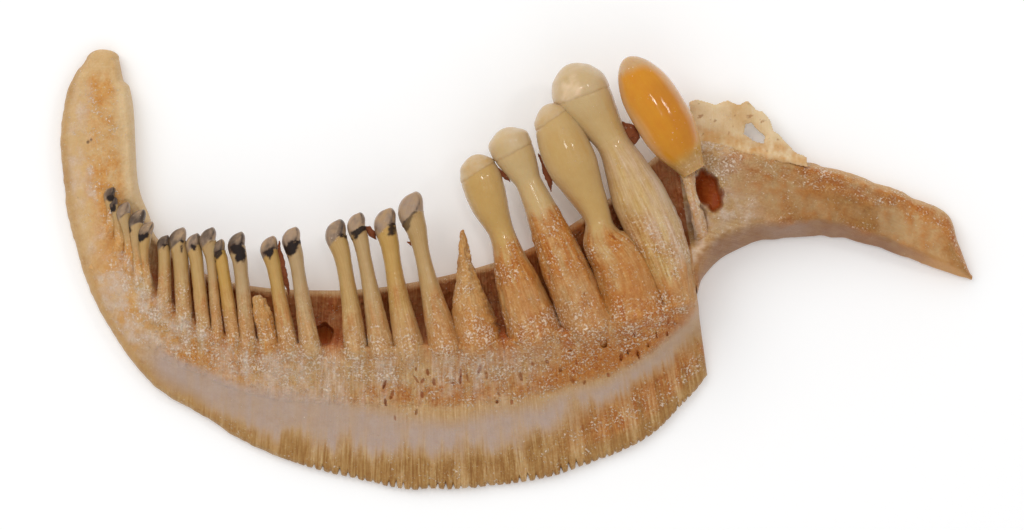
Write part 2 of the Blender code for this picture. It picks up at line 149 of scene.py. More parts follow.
class LimbSlice(NamedTuple):
    """One slice across the ventral limb, from its upper edge to its lower edge."""

    upper: tuple
    lower: tuple
    ridge_share: float
    upper_height: float
    ridge_height: float
    lower_height: float


VENTRAL_LIMB = [
    LimbSlice((12.3, 8.8), (12.5, -0.4), 0.78, 2.4, 4.5, 2.2),
    LimbSlice((14.2, 8.5), (14.1, 1.1), 0.78, 2.3, 4.2, 1.6),
    LimbSlice((16.9, 8.0), (16.8, 2.1), 0.78, 2.0, 3.9, 1.3),
    LimbSlice((19.6, 7.3), (19.6, 2.3), 0.74, 1.8, 3.6, 1.2),
    LimbSlice((22.9, 6.3), (22.6, 2.0), 0.75, 1.5, 3.2, 1.1),
    LimbSlice((25.9, 5.2), (25.6, 1.2), 0.80, 1.3, 2.8, 1.1),
    LimbSlice((28.8, 3.9), (27.9, 0.2), 0.80, 1.2, 2.3, 1.0),
    LimbSlice((29.6, 2.0), (29.1, -0.2), 0.70, 1.1, 1.8, 0.9),
    LimbSlice((30.3, 0.1), (30.2, -0.5), 0.50, 0.8, 1.0, 0.7),
    LimbSlice((30.6, -0.35), (30.55, -0.6), 0.50, 0.6, 0.7, 0.55),
]
LIMB_ROOT_REACH = 10.4
LIMB_ROOT = (0.75, 2.4, 4.6, 3.4)  # the ridge's place and the heights of the slice inside the arch
LIMB_LENGTH = 24.0
LIMB_SLICE_GAP = 2.7  # from slice to slice, for the fibres
LIMB_GRAIN_SHARE = 1.1  # spacing of its rings over the bone's grain
LIMB_ROOT_BLEND = 1.6  # slices over which the limb takes over from the arch's own height

CREST_TOP = [
    (11.6, 11.3), (12.1, 11.5), (13.4, 11.2), (14.2, 11.5), (14.9, 11.15), (15.5, 11.4),
    (16.0, 10.85), (16.5, 10.7), (17.0, 10.1), (17.2, 9.4), (17.8, 8.95), (18.5, 8.15), (19.4, 7.6),
]
CREST_FOOT = [(11.5, 8.4), (12.9, 8.15), (14.2, 7.9), (16.9, 7.4), (19.5, 6.9)]
CREST_WINDOW = [
    (15.2, 9.25), (15.35, 9.8), (15.7, 9.9), (16.0, 9.5), (16.6, 9.05), (16.55, 8.6), (15.85, 8.75),
]
CREST_BOX = ((11.3, 6.9), (19.8, 11.8))
CREST_GRAIN = 0.055
LIMB_EDGE = ((11.5, 8.9), (14.2, 8.5), (16.9, 8.0), (18.6, 7.6))  # where the limb carries the crest
CREST_THICK = 0.5
CREST_HEIGHT = 1.25


class Slender(NamedTuple):
    """A slender tooth. Stain is its place across the crown, half width, length and strength."""

    station: float
    tip: tuple
    crown: float
    neck: float
    foot: float
    bow: float  # sideways bend at its middle
    warmth: float  # 0 is a grey cream, 1 a deep amber
    stain: tuple = ()
    shape: tuple = ()  # of a broken tooth: shares of its length and widths over its foot's


SLENDER_TEETH = [
    Slender(3.50, (-27.1, 5.6), 0.80, 0.65, 0.80, 0.0, 0.4, (0.2, 0.9, 0.5, 1.0)),
    Slender(3.82, (-26.9, 4.9), 0.65, 0.60, 0.75, 0.0, 0.4, (-0.4, 0.7, 0.7, 1.0)),
    Slender(4.18, (-26.2, 4.6), 1.00, 0.70, 0.80, 0.0, 0.3, (0.0, 0.9, 0.2, 0.4)),
    Slender(4.60, (-25.1, 4.1), 1.10, 0.70, 0.85, -0.27, 0.35, (-0.9, 0.5, 0.3, 0.9)),
    Slender(4.83, (-24.5, 3.3), 1.00, 0.65, 0.80, -0.27, 0.6, (0.0, 1.2, 0.45, 1.0)),
    Slender(5.28, (-23.45, 2.4), 0.85, 0.85, 0.95, 0.0, 0.5, (0.5, 0.6, 0.4, 1.0)),
    Slender(5.68, (-22.5, 2.9), 1.20, 1.05, 1.15, 0.0, 0.45, (0.6, 0.4, 0.5, 1.0)),
    Slender(6.06, (-21.5, 2.5), 1.05, 0.90, 1.00, 0.0, 0.6, (0.1, 0.4, 0.6, 1.0)),
    Slender(6.32, (-20.5, 2.9), 1.15, 0.65, 0.80, 0.0, 0.3, (0.3, 0.5, 0.25, 0.4)),
    Slender(6.62, (-19.85, 2.1), 0.95, 0.85, 1.00, 0.0, 1.0, (0.0, 1.2, 0.35, 0.9)),
    Slender(6.86, (-18.6, 2.6), 1.20, 0.95, 1.15, 0.0, 0.1, (0.15, 0.75, 0.75, 1.0)),
    Slender(7.45, (-16.5, 2.3), 1.20, 0.92, 1.40, 0.0, 0.8, (0.1, 0.75, 0.85, 1.0)),
    Slender(7.74, (-15.0, 2.9), 1.25, 0.95, 1.45, 0.0, 0.1, (0.0, 1.5, 0.5, 1.0)),
    Slender(8.28, (-12.1, 3.4), 1.45, 1.05, 1.65, 0.15, 0.6, (0.6, 0.5, 0.5, 1.0)),
    Slender(8.56, (-10.7, 3.85), 1.25, 0.95, 1.80, 0.0, 0.3, (0.2, 1.3, 0.45, 0.95)),
    Slender(8.84, (-8.75, 4.15), 1.50, 1.15, 2.10, -0.12, 0.9, (0.6, 0.5, 0.5, 0.9)),
    Slender(9.20, (-7.1, 5.2), 1.75, 1.05, 2.35, -0.12, 0.4, (0.0, 1.5, 0.28, 0.55)),
]
BROKEN_TEETH = [
    Slender(7.18, (-17.2, -1.6), 0.35, 0.70, 1.30, 0.0, 0.5,
            shape=((0, 1), (0.4, 0.95), (0.7, 0.85), (0.9, 0.7), (1, 0.5))),
    Slender(9.52, (-3.6, 2.75), 0.25, 0.40, 3.10, -0.2, 0.5,
            shape=((0, 1), (0.3, 0.85), (0.46, 0.62), (0.64, 0.38), (0.82, 0.22), (1, 0.08))),
]


class Molar(NamedTuple):
    """A molar: its middle line from tip to foot, its widths by distance from the tip, and its looks."""

    station: float
    line: tuple
    widths: tuple
    lift: float  # over the height that its foot gives it
    warmth: float
    cap: float  # length of the pale worn cap
    root: float  # distance from the tip where the fibrous root begins
    slant: float  # how far the cap's border slants towards the tip at the right


MOLARS = [
    Molar(10.06, ((-2.8, 7.73), (-2.5, 6.67), (-1.83, 4.53), (-0.97, 2.47), (-0.23, 0.07), (0.37, -1.67),
                  (1.23, -4.27)),
          ((0.0, 0.2), (0.4, 1.78), (1.1, 2.5), (2.3, 2.72), (3.4, 2.5), (5.6, 1.7), (6.7, 1.93), (8.1, 2.5),
           (9.9, 3.1), (12.7, 3.7)), 0.0, 0.75, 1.15, 6.3, 0.29),
    Molar(10.68, ((-0.9, 9.47), (-0.5, 8.53), (0.43, 6.67), (1.3, 4.8), (2.5, 1.93), (3.7, -0.93),
                  (4.9, -3.67)),
          ((0.0, 0.2), (0.37, 1.9), (1.07, 2.78), (2.0, 2.67), (3.2, 2.13), (4.0, 1.75), (5.2, 1.95),
           (6.4, 2.25), (8.3, 2.68), (14.5, 3.7)), 0.0, 0.25, 1.75, 5.6, 0.0),
    Molar(11.32, ((1.87, 11.0), (2.5, 9.93), (3.3, 7.93), (4.3, 5.87), (5.37, 3.6), (5.77, 2.07),
                  (6.77, 0.73), (8.03, -2.87)),
          ((0.0, 0.2), (0.5, 2.0), (1.2, 2.7), (2.3, 3.2), (3.4, 3.4), (4.6, 3.33), (5.7, 2.85), (6.9, 2.3),
           (8.5, 1.8), (9.9, 2.9), (11.3, 3.8), (15.2, 4.7)), 0.5, 0.6, 1.1, 8.3, 0.1),
    Molar(12.12, ((3.3, 13.67), (4.17, 12.07), (6.5, 8.33), (8.3, 4.53), (9.43, 2.07), (10.8, -1.93)),
          ((0.0, 0.2), (0.45, 2.2), (1.0, 3.15), (1.9, 3.8), (3.1, 3.53), (4.2, 2.95), (6.1, 2.25),
           (7.9, 2.87), (10.3, 3.67), (13.0, 3.6), (17.5, 2.3)), -0.5, 0.3, 2.35, 11.5, -0.2),
]

WHITE_PATCH = (3.63, 12.05)  # on the last molar's crown

YOUNG_TIP = (7.25, 14.15)
YOUNG_ROOT = (11.8, 6.6)
YOUNG_WIDTHS = ((0.0, 0.2), (0.3, 1.5), (0.87, 2.3), (1.5, 2.9), (2.4, 3.46), (3.3, 3.67), (4.3, 3.7),
                (5.2, 3.7), (6.1, 3.5), (7.1, 2.95), (8.0, 2.2), (8.7, 1.7))
YOUNG_HEIGHT = 5.0
YOUNG_DROP = 0.9
STRUT = ((11.25, 7.4, 3.7), (11.6, 5.4, 4.3), (12.05, 3.6, 4.2), (12.6, 1.5, 2.9))
STRUT_WIDTH = 0.95
STRUT_LENGTH = 6.0

# Hollows in the bone: middle, half width, half length, turn in degrees and depth.
CRYPT = ((12.8, 5.35), 0.8, 1.45, 24.0, 1.9)
COMB_PIT = ((-12.85, -4.25), 0.6, 0.75, 4.0, 1.1)
MOLAR_SLITS = [
    ((3.3, -1.0), 0.14, 0.8, 15.0, 0.5), ((3.75, -2.3), 0.16, 0.7, 20.0, 0.6),
    ((8.05, 0.4), 0.2, 1.2, 24.0, 0.7), ((8.75, -1.3), 0.16, 0.6, 30.0, 0.6),
    ((5.8, -4.75), 0.22, 0.33, 8.0, 0.8), ((5.9, -3.2), 0.12, 0.5, 14.0, 0.4),
    ((-0.6, -3.9), 0.12, 0.5, 5.0, 0.5), ((0.0, -2.1), 0.13, 0.6, 8.0, 0.5),
    ((6.3, -2.5), 0.1, 0.4, 20.0, 0.4),
]

# Small dark marks on the dorsal limb: middle and radius.
MARKS = [((-28.63, 8.6), 0.17), ((-28.4, 8.75), 0.1), ((-29.25, 5.15), 0.09), ((-29.3, 4.9), 0.09)]

# Shreds of dried tissue: points along each, and its width.
TISSUE = [
    ((7.0, 9.85, 4.4), (7.5, 9.4, 4.5), (7.75, 8.9, 4.4), (7.3, 8.2, 4.3), 0.95),
    ((1.5, 7.8, 4.2), (1.95, 6.9, 4.3), (2.2, 6.0, 4.3), (2.35, 5.3, 4.1), 0.55),
    ((-1.5, 6.95, 4.6), (-1.1, 6.6, 4.6), (-0.7, 6.3, 4.5), (-0.4, 5.9, 4.3), 0.4),
    ((-7.7, 3.75, 4.3), (-7.4, 3.0, 4.3), (-6.9, 2.1, 4.2), (-6.4, 1.3, 4.1), 0.36),
    ((-10.2, 2.9, 4.1), (-9.8, 2.7, 4.15), (-9.5, 2.4, 4.1), (-9.3, 2.1, 4.0), 0.5),
    ((-15.8, 2.0, 4.1), (-15.7, 0.9, 4.05), (-15.5, -0.4, 3.9), (-15.1, -1.6, 3.6), 0.5),
    ((-15.6, 2.1, 4.0), (-15.4, 2.25, 4.0), (-15.2, 2.2, 4.0), (-15.1, 2.0, 4.0), 0.3),
    ((-7.3, 1.9, 4.1), (-6.9, 1.75, 4.1), (-6.5, 1.8, 4.0), (-6.2, 1.9, 4.0), 0.3),
]

ROOT_SINK = 0.72  # how deep a root's middle lies under the front face, in half depths
ROOT_RUN = 3.2  # how far a slender tooth's root runs past its foot
MOLAR_ROOT_RUN = 3.4
LAST_ROOT_SHARE = 0.72  # of that run for the last molar, which stands close to the bone's edge
ROOT_FLOOR = 0.8  # roots stay above this, inside the bone
STEM_RISE = 0.02  # how much higher a tooth lies for each millimetre towards its tip
SLENDER_RIB = 3.2  # length of the rib over a slender tooth's root
MOLAR_RIB = 4.5
SLENDER_FLATNESS = 1.25
MOLAR_FLATNESS = 0.95
ROUND_END = 1.0  # length of a molar's tip over which its rings close up


def setting(group):
    return getattr(bpy.context.scene, group)


def curve(x, knots, values, level=False):
    """A rounded curve through values at knots, read at each x. If level, it is flat at each peak and dip."""
    knots = np.asarray(knots, float)
    values = np.asarray(values, float)
    x = np.atleast_1d(np.asarray(x, float))
    slopes = np.gradient(values, knots, axis=0)
    if level:
        rises = np.diff(values, axis=0)
        slopes[1:-1][rises[:-1] * rises[1:] <= 0] = 0
    i = np.clip(np.searchsorted(knots, x, side="right") - 1, 0, len(knots) - 2)
    span = knots[i + 1] - knots[i]
    u = (x - knots[i]) / span
    if values.ndim > 1:
        u = u[:, None]
        span = span[:, None]
    first = (2 * u**3 - 3 * u**2 + 1) * values[i] + (u**3 - 2 * u**2 + u) * span * slopes[i]
    second = (3 * u**2 - 2 * u**3) * values[i + 1] + (u**3 - u**2) * span * slopes[i + 1]
    return first + second


def smooth(x, knots, values):
    """The curve through values at knots that never goes past them."""
    return curve(x, knots, values, level=True)


def clipped(x):
    return np.clip(x, 0, 1)


def step(x):
    """0 before 0, 1 after 1 and smooth between."""
    x = clipped(x)
    return x * x * (3 - 2 * x)


def band(x, low, high, soft):
    """1 from low to high, falling to 0 over soft on both sides."""
    return step((x - low) / soft + 1) * step((high - x) / soft + 1)


def higher(a, b, soft):
    """The greater of two heights, with a rounded change from one to the other."""
    share = clipped(0.5 + 0.5 * (a - b) / soft)
    return b + (a - b) * share + soft * share * (1 - share)


PRIMES = (73856093, 19349663, 83492791)


def noise(points, size, seed):
    """Smooth random numbers from -1 to 1 that change over a size in millimetres."""
    place = np.asarray(points, float) / np.asarray(size, float) + 512.5
    cell = np.floor(place).astype(np.int64)
    share = place - cell
    share = share * share * (3 - 2 * share)
    table = np.random.default_rng(seed).uniform(-1, 1, 1024)
    total = np.zeros(place.shape[:-1])
    for corner in itertools.product((0, 1), repeat=place.shape[-1]):
        key = np.zeros(place.shape[:-1], np.int64)
        weight = np.ones(place.shape[:-1])
        for axis, side in enumerate(corner):
            key ^= (cell[..., axis] + side) * PRIMES[axis]
            weight = weight * (share[..., axis] if side else 1 - share[..., axis])
        total += weight * table[(key >> 3) % 1024]
    return total


def layered(points, size, seed, layers=3):
    """Noise with finer and weaker noise on top."""
    size = np.asarray(size, float)
    total = 0
    for layer in range(layers):
        total = total + noise(points, size / 2**layer, seed + layer) * 0.55**layer
    return total


def linear(colour):
    """A display colour from 0 to 255 as a linear colour."""
    share = np.asarray(colour, float) / 255
    return tuple(np.where(share <= 0.04045, share / 12.92, ((share + 0.055) / 1.055) ** 2.4))


def colour_of(name):
    return np.array(getattr(setting("arch_colours"), name)[:3])


def paint(tint, colour, mask):
    """Lays a colour, or one that is named, over the tint where mask is 1."""
    if isinstance(colour, str):
        colour = colour_of(colour)
    mask = clipped(mask)[..., None]
    return tint * (1 - mask) + np.asarray(colour) * mask


def plain(values, shape):
    """The same three values at every point of a grid."""
    return np.broadcast_to(values, (*shape, 3)).copy()


def lifted(points, height):
    """Points of a plane with their heights as a third coordinate."""
    return np.concatenate([points, height[..., None]], axis=-1)


def run_along(points):
    """Distance along a line of points, from its first."""
    return np.concatenate([[0], np.cumsum(np.linalg.norm(np.diff(points, axis=0), axis=1))])


def arch_rows(stations):
    """The arch's slices at many stations, as a Station of arrays."""
    rows = Station(*[smooth(stations, range(len(ARCH)), field) for field in zip(*ARCH)])
    place = np.asarray(stations)
    rows.rim[:, 0] += 0.28 * step((place - 1.0) / 0.2) * step((2.3 - place) / 1.1)
    return rows


def row_at(rows, i):
    """One slice out of many, of the arch or of the limb."""
    return type(rows)(*[field[i] for field in rows])


def across(a, b):
    """Unit vector from a to b and the distance, for one slice or many."""
    span = np.subtract(b, a)
    length = np.linalg.norm(span, axis=-1, keepdims=True)
    return span / length, length


def arch_front(row, width, reach):
    """Height of the front face of one slice at distances from the rim."""
    root = width - row.wing_width
    shelf = row.rim_height - SHELF_DIP * (row.lip_height - row.rim_height)
    rise = shelf + 0.25 * (row.lip_height - shelf)
    face = row.wing_height + 0.5 * (row.lip_height - row.wing_height)
    wing = row.edge_height + 0.38 * (row.wing_height - row.edge_height)
    knots = [0, 0.5 * row.lip_reach, 0.75 * row.lip_reach, row.lip_reach,
             0.5 * (row.lip_reach + root), root, root + 0.5 * row.wing_width, width]
    heights = [row.rim_height, shelf, rise, row.lip_height, face, row.wing_height, wing, row.edge_height]
    return smooth(reach, knots, heights)


def back_height(reach, width, hollow):
    """Height of the back face, which lies on the table along both of its sides."""
    ramp = 0.3 * width
    return hollow * step((reach - BACK_FLAT) / ramp) * step((width - BACK_FLAT - reach) / ramp)


def rounding(distance, radius):
    """Share of the full height at a distance from a rounded edge."""
    x = clipped(distance / radius)
    return np.sqrt(1 - (1 - x) ** 2)


def spread(first, last, count):
    """Distances from first to last, closer together at both ends."""
    even = np.linspace(0, 1, count)
    return first + (last - first) * (0.6 * even + 0.4 * 0.5 * (1 - np.cos(np.pi * even)))


def tooth_foot(station):
    """The place of a tooth's foot on the lip, the way down the front face, and the slice there."""
    row = row_at(arch_rows([station]), 0)
    down = across(row.rim, row.edge)[0]
    return np.asarray(row.rim) + down * row.lip_reach, down, row


def root_heading(down, rise):
    """The way that a root runs, halfway between straight on from its tooth and down the front face."""
    heading = down - rise / np.linalg.norm(rise)
    return heading / np.linalg.norm(heading)


class Rib(NamedTuple):
    """Where a tooth meets the bone: its foot, the way its root runs, half sizes and length."""

    foot: np.ndarray
    heading: np.ndarray
    half: float
    depth: float
    length: float


def all_ribs():
    """The ribs by which every tooth on the arch runs into its front face."""
    ribs = []
    for tooth in SLENDER_TEETH + BROKEN_TEETH:
        foot, down, _ = tooth_foot(tooth.station)
        heading = root_heading(down, np.subtract(tooth.tip, foot))
        half = tooth.foot / 2
        ribs.append(Rib(foot, heading, half, half * SLENDER_FLATNESS, SLENDER_RIB))
    for tooth in MOLARS:
        line = np.array(tooth.line)
        heading = root_heading(tooth_foot(tooth.station)[1], line[-2] - line[-1])
        half = tooth.widths[-1][1] / 2
        ribs.append(Rib(line[-1], heading, half, half * MOLAR_FLATNESS, MOLAR_RIB))
    return ribs


def hollow_mask(points, spot):
    """1 inside a long hollow and 0 outside it."""
    middle, half_width, half_length, turn, _ = spot
    offset = points[..., :2] - np.asarray(middle)
    angle = math.radians(turn)
    across_it = (offset[..., 0] * math.cos(angle) + offset[..., 1] * math.sin(angle)) / half_width
    along_it = (offset[..., 1] * math.cos(angle) - offset[..., 0] * math.sin(angle)) / half_length
    edge = across_it**2 + along_it**2 + 0.25 * noise(points[..., :2], 0.35, 71)
    return step((1.25 - edge) / 0.7)


class Grid(NamedTuple):
    """A stretch of the arch as arrays over its stations and its points across."""

    station: np.ndarray
    reach: np.ndarray
    rows: Station
    width: np.ndarray
    points: np.ndarray  # x and y
    run: np.ndarray  # distance along the bone


def edge_run(stations):
    """Distance along the middle of the outer half of the bone at each station."""
    fine = np.linspace(0, ARCH_END, 1300)
    rows = arch_rows(fine)
    return np.interp(stations, fine, run_along(0.35 * rows.rim + 0.65 * rows.edge))


def serration(stations):
    """Depth of the notches in the outer edge at each station."""
    sizes = setting("bone_sizes")
    fine = np.linspace(0, ARCH_END, 2600)
    place = np.interp(stations, fine, run_along(arch_rows(fine).edge))
    drift = 0.22 * noise(place[:, None], [1.9], 5)
    phase = (place / sizes.serration_pitch + drift) % 1
    notch = np.exp(-((np.abs(phase - 0.5) / 0.15) ** 3))
    deep = band(stations, 8.2, 10.5, 0.8) + 0.35 * band(stations, 11.2, 12.6, 0.6)
    uneven = 0.85 + 0.6 * noise(place[:, None], [0.8], 6)
    ragged = 0.07 * layered(place[:, None], [1.4], 7)
    return sizes.serration_depth * notch * clipped(deep) * uneven + ragged + 0.05


def arch_grid(stations, part):
    """Points of the arch between its rim and edge: part is "bed", "wing" or "whole"."""
    rows = arch_rows(stations)
    along, width = across(rows.rim, rows.edge)
    notch = serration(stations)
    reaches = []
    for i in range(len(stations)):
        root = width[i, 0] - rows.wing_width[i]
        bed = spread(0, root, BED_POINTS)
        wing = spread(root, width[i, 0], WING_POINTS)
        share = (wing - root) / rows.wing_width[i]
        wing = wing - notch[i] * step((share - 0.55) / 0.45)
        pieces = {"bed": bed, "wing": wing, "whole": np.concatenate([bed, wing[1:]])}
        reaches.append(pieces[part])
    reach = np.array(reaches)
    points = rows.rim[:, None] + reach[..., None] * along[:, None]
    run = np.repeat(edge_run(stations)[:, None], reach.shape[1], axis=1)
    return Grid(np.repeat(stations[:, None], reach.shape[1], axis=1), reach, rows, width, points, run)


def plain_front(rows, width, reach):
    """Heights of the front face of many slices, before its teeth, grooves and grain."""
    return np.array([arch_front(row_at(rows, i), width[i, 0], reach[i]) for i in range(len(reach))])


def wing_share(grid):
    """Place across the wing, from 0 at its root to 1 at its edge."""
    wing = grid.rows.wing_width[:, None]
    return (grid.reach - (grid.width - wing)) / wing


def ribbed(grid, base, front):
    """The front face with the rib of every tooth's root on it."""
    for rib in all_ribs():
        offset = grid.points - rib.foot
        down = offset @ rib.heading
        side = offset[..., 0] * rib.heading[1] - offset[..., 1] * rib.heading[0]
        q = np.abs(side) / (1.2 * rib.half)
        fall = step(down / rib.length)
        crown = base + 0.14 * rib.depth * (1 - fall) - 0.12 * fall - (0.3 * rib.depth + 0.2) * q * q
        crown = crown - 1.5 * step(-down / 0.6)
        near = (q < 2) & (down > -0.8) & (down < rib.length)
        front = np.where(near, higher(front, crown, 0.22), front)
    return front


def small_pits():
    """The small pits of the beds, one by one: its hollow and how dark its painted shade is."""
    sizes = setting("bone_sizes")
    pits = np.random.default_rng(sizes.pit_seed)
    for _ in range(sizes.pits):
        station, share = pits.uniform(8.4, 11.8), pits.normal(0.7, 0.2)
        foot, down, row = tooth_foot(station)
        span = across(row.rim, row.edge)[1][0] - row.wing_width - row.lip_reach
        turn = math.degrees(math.atan2(down[0], -down[1])) + pits.normal(0, 14)
        spot = (foot + down * share * span, pits.uniform(0.06, 0.12), pits.uniform(0.12, 0.35), turn,
                pits.uniform(0.1, 0.25))
        yield spot, pits.uniform(0.3, 0.8)


def shape_arch(grid):
    """Front heights of a stretch of the arch, how far each point lies in a gap, which sets the painted shade
    there, and its place on the wing.
    """
    sizes = setting("bone_sizes")
    station = grid.station
    lip = grid.rows.lip_reach[:, None]
    lip_height = grid.rows.lip_height[:, None]
    share = wing_share(grid)
    base = plain_front(grid.rows, grid.width, grid.reach)
    toothed = step((station - 3.2) / 0.5) * step((13.4 - station) / 0.8)
    molar = step((station - 9.5) / 0.5)
    rim_drop = (lip_height - grid.rows.rim_height[:, None]) * clipped(1 - grid.reach / lip) ** 2
    toothless = step((4.0 - station) / 1.2) * (grid.reach < lip)
    base = base + toothless * np.clip(lip_height - 0.6 * rim_drop - base, 0, None)
    groove = np.exp(-(((grid.reach - lip) / (0.8 + 0.2 * molar)) ** 2))
    front = base - toothed * sizes.gap_depth * (1 + 0.2 * molar) * groove
    front = ribbed(grid, base, front)
    closed = step((station - 11.8) / 1.0) * step((grid.reach - 5.9) / 1.6) * step((0.1 - share) / 0.35)
    front = front + closed * np.clip(lip_height - 0.35 - front, 0, None)
    gap = 0.55 * clipped((base - front) / 0.6)
    for spot in [CRYPT, COMB_PIT] + MOLAR_SLITS:
        mask = hollow_mask(grid.points, spot)
        front = front - spot[-1] * mask
        gap = np.maximum(gap, mask)
    for spot, dark in small_pits():
        near = np.linalg.norm(grid.points - spot[0], axis=-1) < 0.8
        mask = np.where(near, hollow_mask(grid.points, spot), 0)
        front = front - spot[-1] * mask
        gap = np.maximum(gap, dark * mask)
    bed = step(-share / 0.08 + 0.5)
    fibre_place = np.stack([grid.run, grid.reach], axis=-1)
    fibres = layered(fibre_place, (0.28, 2.4), 11)
    flutes = layered(fibre_place, (0.7, 6.0), 21)
    grains = step((layered(grid.points, 0.24, 37) + 0.15) / 0.9)
    toothed_bed = step((station - 4.2) / 1.2) * bed * (1 - gap)
    front = front + sizes.fibre_relief * fibres * toothed_bed + sizes.grain_relief * grains * toothed_bed
    front = front + sizes.flute_relief * flutes * step((share - 0.25) / 0.6)
    front = front + 0.035 * layered(grid.points, 0.5, 31) * bed + 0.05 * layered(grid.points, 2.2, 33, 2)
    return front, gap, share


def rounded(front, back, share):
    """Front and back pulled together to their middle where share is below 1."""
    middle = 0.5 * (front + back)
    share = np.maximum(share, LOWEST_ROUNDING)
    return middle + (front - middle) * share, middle + (back - middle) * share


def tint_arch(grid, front, gap, share, painted_hollow_shade=True):
    """Colour over the arch: tan bone, orange mottling, lilac bands, painted brown shade in the recesses and a
    tan margin.
    """
    station = grid.station
    points = grid.points
    fibre_place = np.stack([grid.run, grid.reach], axis=-1)
    soft = layered(points, 2.6, 41)
    fine = layered(points, 0.7, 43)
    streak = layered(fibre_place, (0.35, 3.0), 45)
    lip = grid.rows.lip_reach[:, None]
    root = grid.width - grid.rows.wing_width[:, None]
    down = (grid.reach - lip) / (root - lip)
    part = grid.reach / grid.width
    tint = plain(colour_of("tan"), station.shape)
    # The dorsal limb
    dorsal = step((5.4 - station) / 1.6)
    tint = paint(tint, "yellow", dorsal)
    centre = dorsal * band(part, 0.3, 0.55, 0.15) * step((station - 0.4) / 0.6)
    tint = paint(tint, "orange_light", centre * clipped(0.6 + 0.45 * soft + 0.55 * fine))
    strip = dorsal * step((0.25 + 0.03 * soft - part) / 0.12) * step((station - 0.9) / 0.4)
    tint = paint(tint, "crest", strip * 0.45)
    low = dorsal * band(part, 0.25, 0.62, 0.15) * step((station - 2.0) / 0.9)
    tint = paint(tint, "orange_light", low * clipped(0.65 + 0.5 * fine + 0.3 * soft))
    outer = dorsal * band(part, 0.6, 0.85, 0.1) * step((station - 0.7) / 1.0)
    tint = paint(tint, "lilac_light", outer * clipped(0.25 + 0.4 * soft + 0.5 * fine))
    # The bend and the beds
    bend = band(station, 4.2, 7.2, 1.0) * band(down, 0.12, 1.3, 0.15)
    tint = paint(tint, "orange_light", bend * clipped(0.5 + 0.5 * soft + 0.5 * streak))
    tint = paint(tint, "lilac_light", bend * clipped(0.3 + 0.7 * fine - 0.4 * soft))
    bed = band(station, 6.0, 14.0, 1.0) * band(down, -2.0, 1.0, 0.1)
    dense = 0.55 + 0.2 * step((station - 9.5) / 0.6)
    tint = paint(tint, "orange", bed * clipped(dense + 0.45 * soft + 0.3 * streak)
                 * (0.45 + 0.55 * step((station - 8.8) / 1.2)))
    pale = band(station, 6.8, 9.6, 0.8) * band(down, 0.3, 1.0, 0.25)
    tint = paint(tint, "lilac_light", pale * clipped(0.25 + 0.7 * streak + 0.2 * soft))
    brown = band(station, 8.6, 11.2, 0.6) * band(down, 0.72, 1.0, 0.18)
    tint = paint(tint, "orange", brown * clipped(0.5 + 0.7 * fine + 0.3 * streak) * 0.8)
    # The wing
    lilac_end = np.interp(station, [4.5, 6.0, 8.0, 9.0, 9.6, 10.4, 11.2, 13.0],
                          [0.75, 0.78, 0.62, 0.5, 0.55, 0.35, 0.22, 0.3])
    lilac_end = lilac_end + 0.07 * soft + 0.1 * streak
    lilac_start = np.interp(station, [5.0, 8.0, 9.0, 10.5, 13.0], [-0.35, -0.15, 0.12, 0.02, -0.25])
    wing = step((station - 4.6) / 0.8)
    lilac = wing * step((share - lilac_start - 0.05 * soft + 0.08) / 0.28)
    lilac = lilac * step((lilac_end - share + 0.14) / 0.34)
    tint = paint(tint, "tan", wing * step((share + 0.1) / 0.2))
    tint = paint(tint, "lilac", lilac * clipped(0.85 + 0.15 * soft + 0.15 * streak)
                 * (1 - 0.35 * step((station - 10.8) / 1.2)))
    border = wing * step((share - lilac_end + 0.12) / 0.32)
    tint = paint(tint, "margin", border * 0.9)
    rust = border * step((station - 9.9) / 0.9) * step((0.86 - share) / 0.2)
    tint = paint(tint, "rust", rust * clipped(0.7 + 0.5 * streak + 0.2 * soft))
    tint = paint(tint, "yellow", border * clipped(streak - 0.15) * 0.6)
    # The end of the bone beside the last molar, its marks and its outer edge
    last = step((station - 11.9) / 0.7)
    tint = paint(tint, "tan", last * (0.45 + 0.2 * fine) * (1 - step((share - 0.1) / 0.3)))
    tint = paint(tint, "tan_yellow", last * step((share + 0.1) / 0.4) * clipped(0.5 + 0.4 * fine))
    for place, size in MARKS:
        mark = step((size - np.linalg.norm(points - place, axis=-1) + 0.05 * fine) / 0.1)
        tint = paint(tint, "stain_brown", mark * 0.8)
    outline = step((part - 0.8) / 0.16) * step((7.6 - station) / 1.4)
    tint = paint(tint, "tan_yellow", outline * (0.65 + 0.3 * soft))
    # Painted shade: the shelf behind the teeth darker the deeper it lies and darkest towards the lip, and
    # deep brown in gaps, pits and the crypt
    shelf = clipped((grid.rows.lip_height[:, None] - front) / 1.3) * step((lip - grid.reach) / 0.5 + 0.4)
    shelf = shelf * step((station - 4.6) / 0.6) * step((grid.reach - 0.12) / 0.5) * painted_hollow_shade
    tint = paint(tint, "hollow", shelf * clipped(0.8 + 0.2 * fine))
    deep = shelf * step((grid.reach - 0.35 * lip) / (0.5 * lip))
    tint = paint(tint, "deep", deep * clipped(0.45 + 0.2 * streak))
    tint = paint(tint, "deep", clipped(gap) * step((station - 3.5) / 0.8) * 0.9)
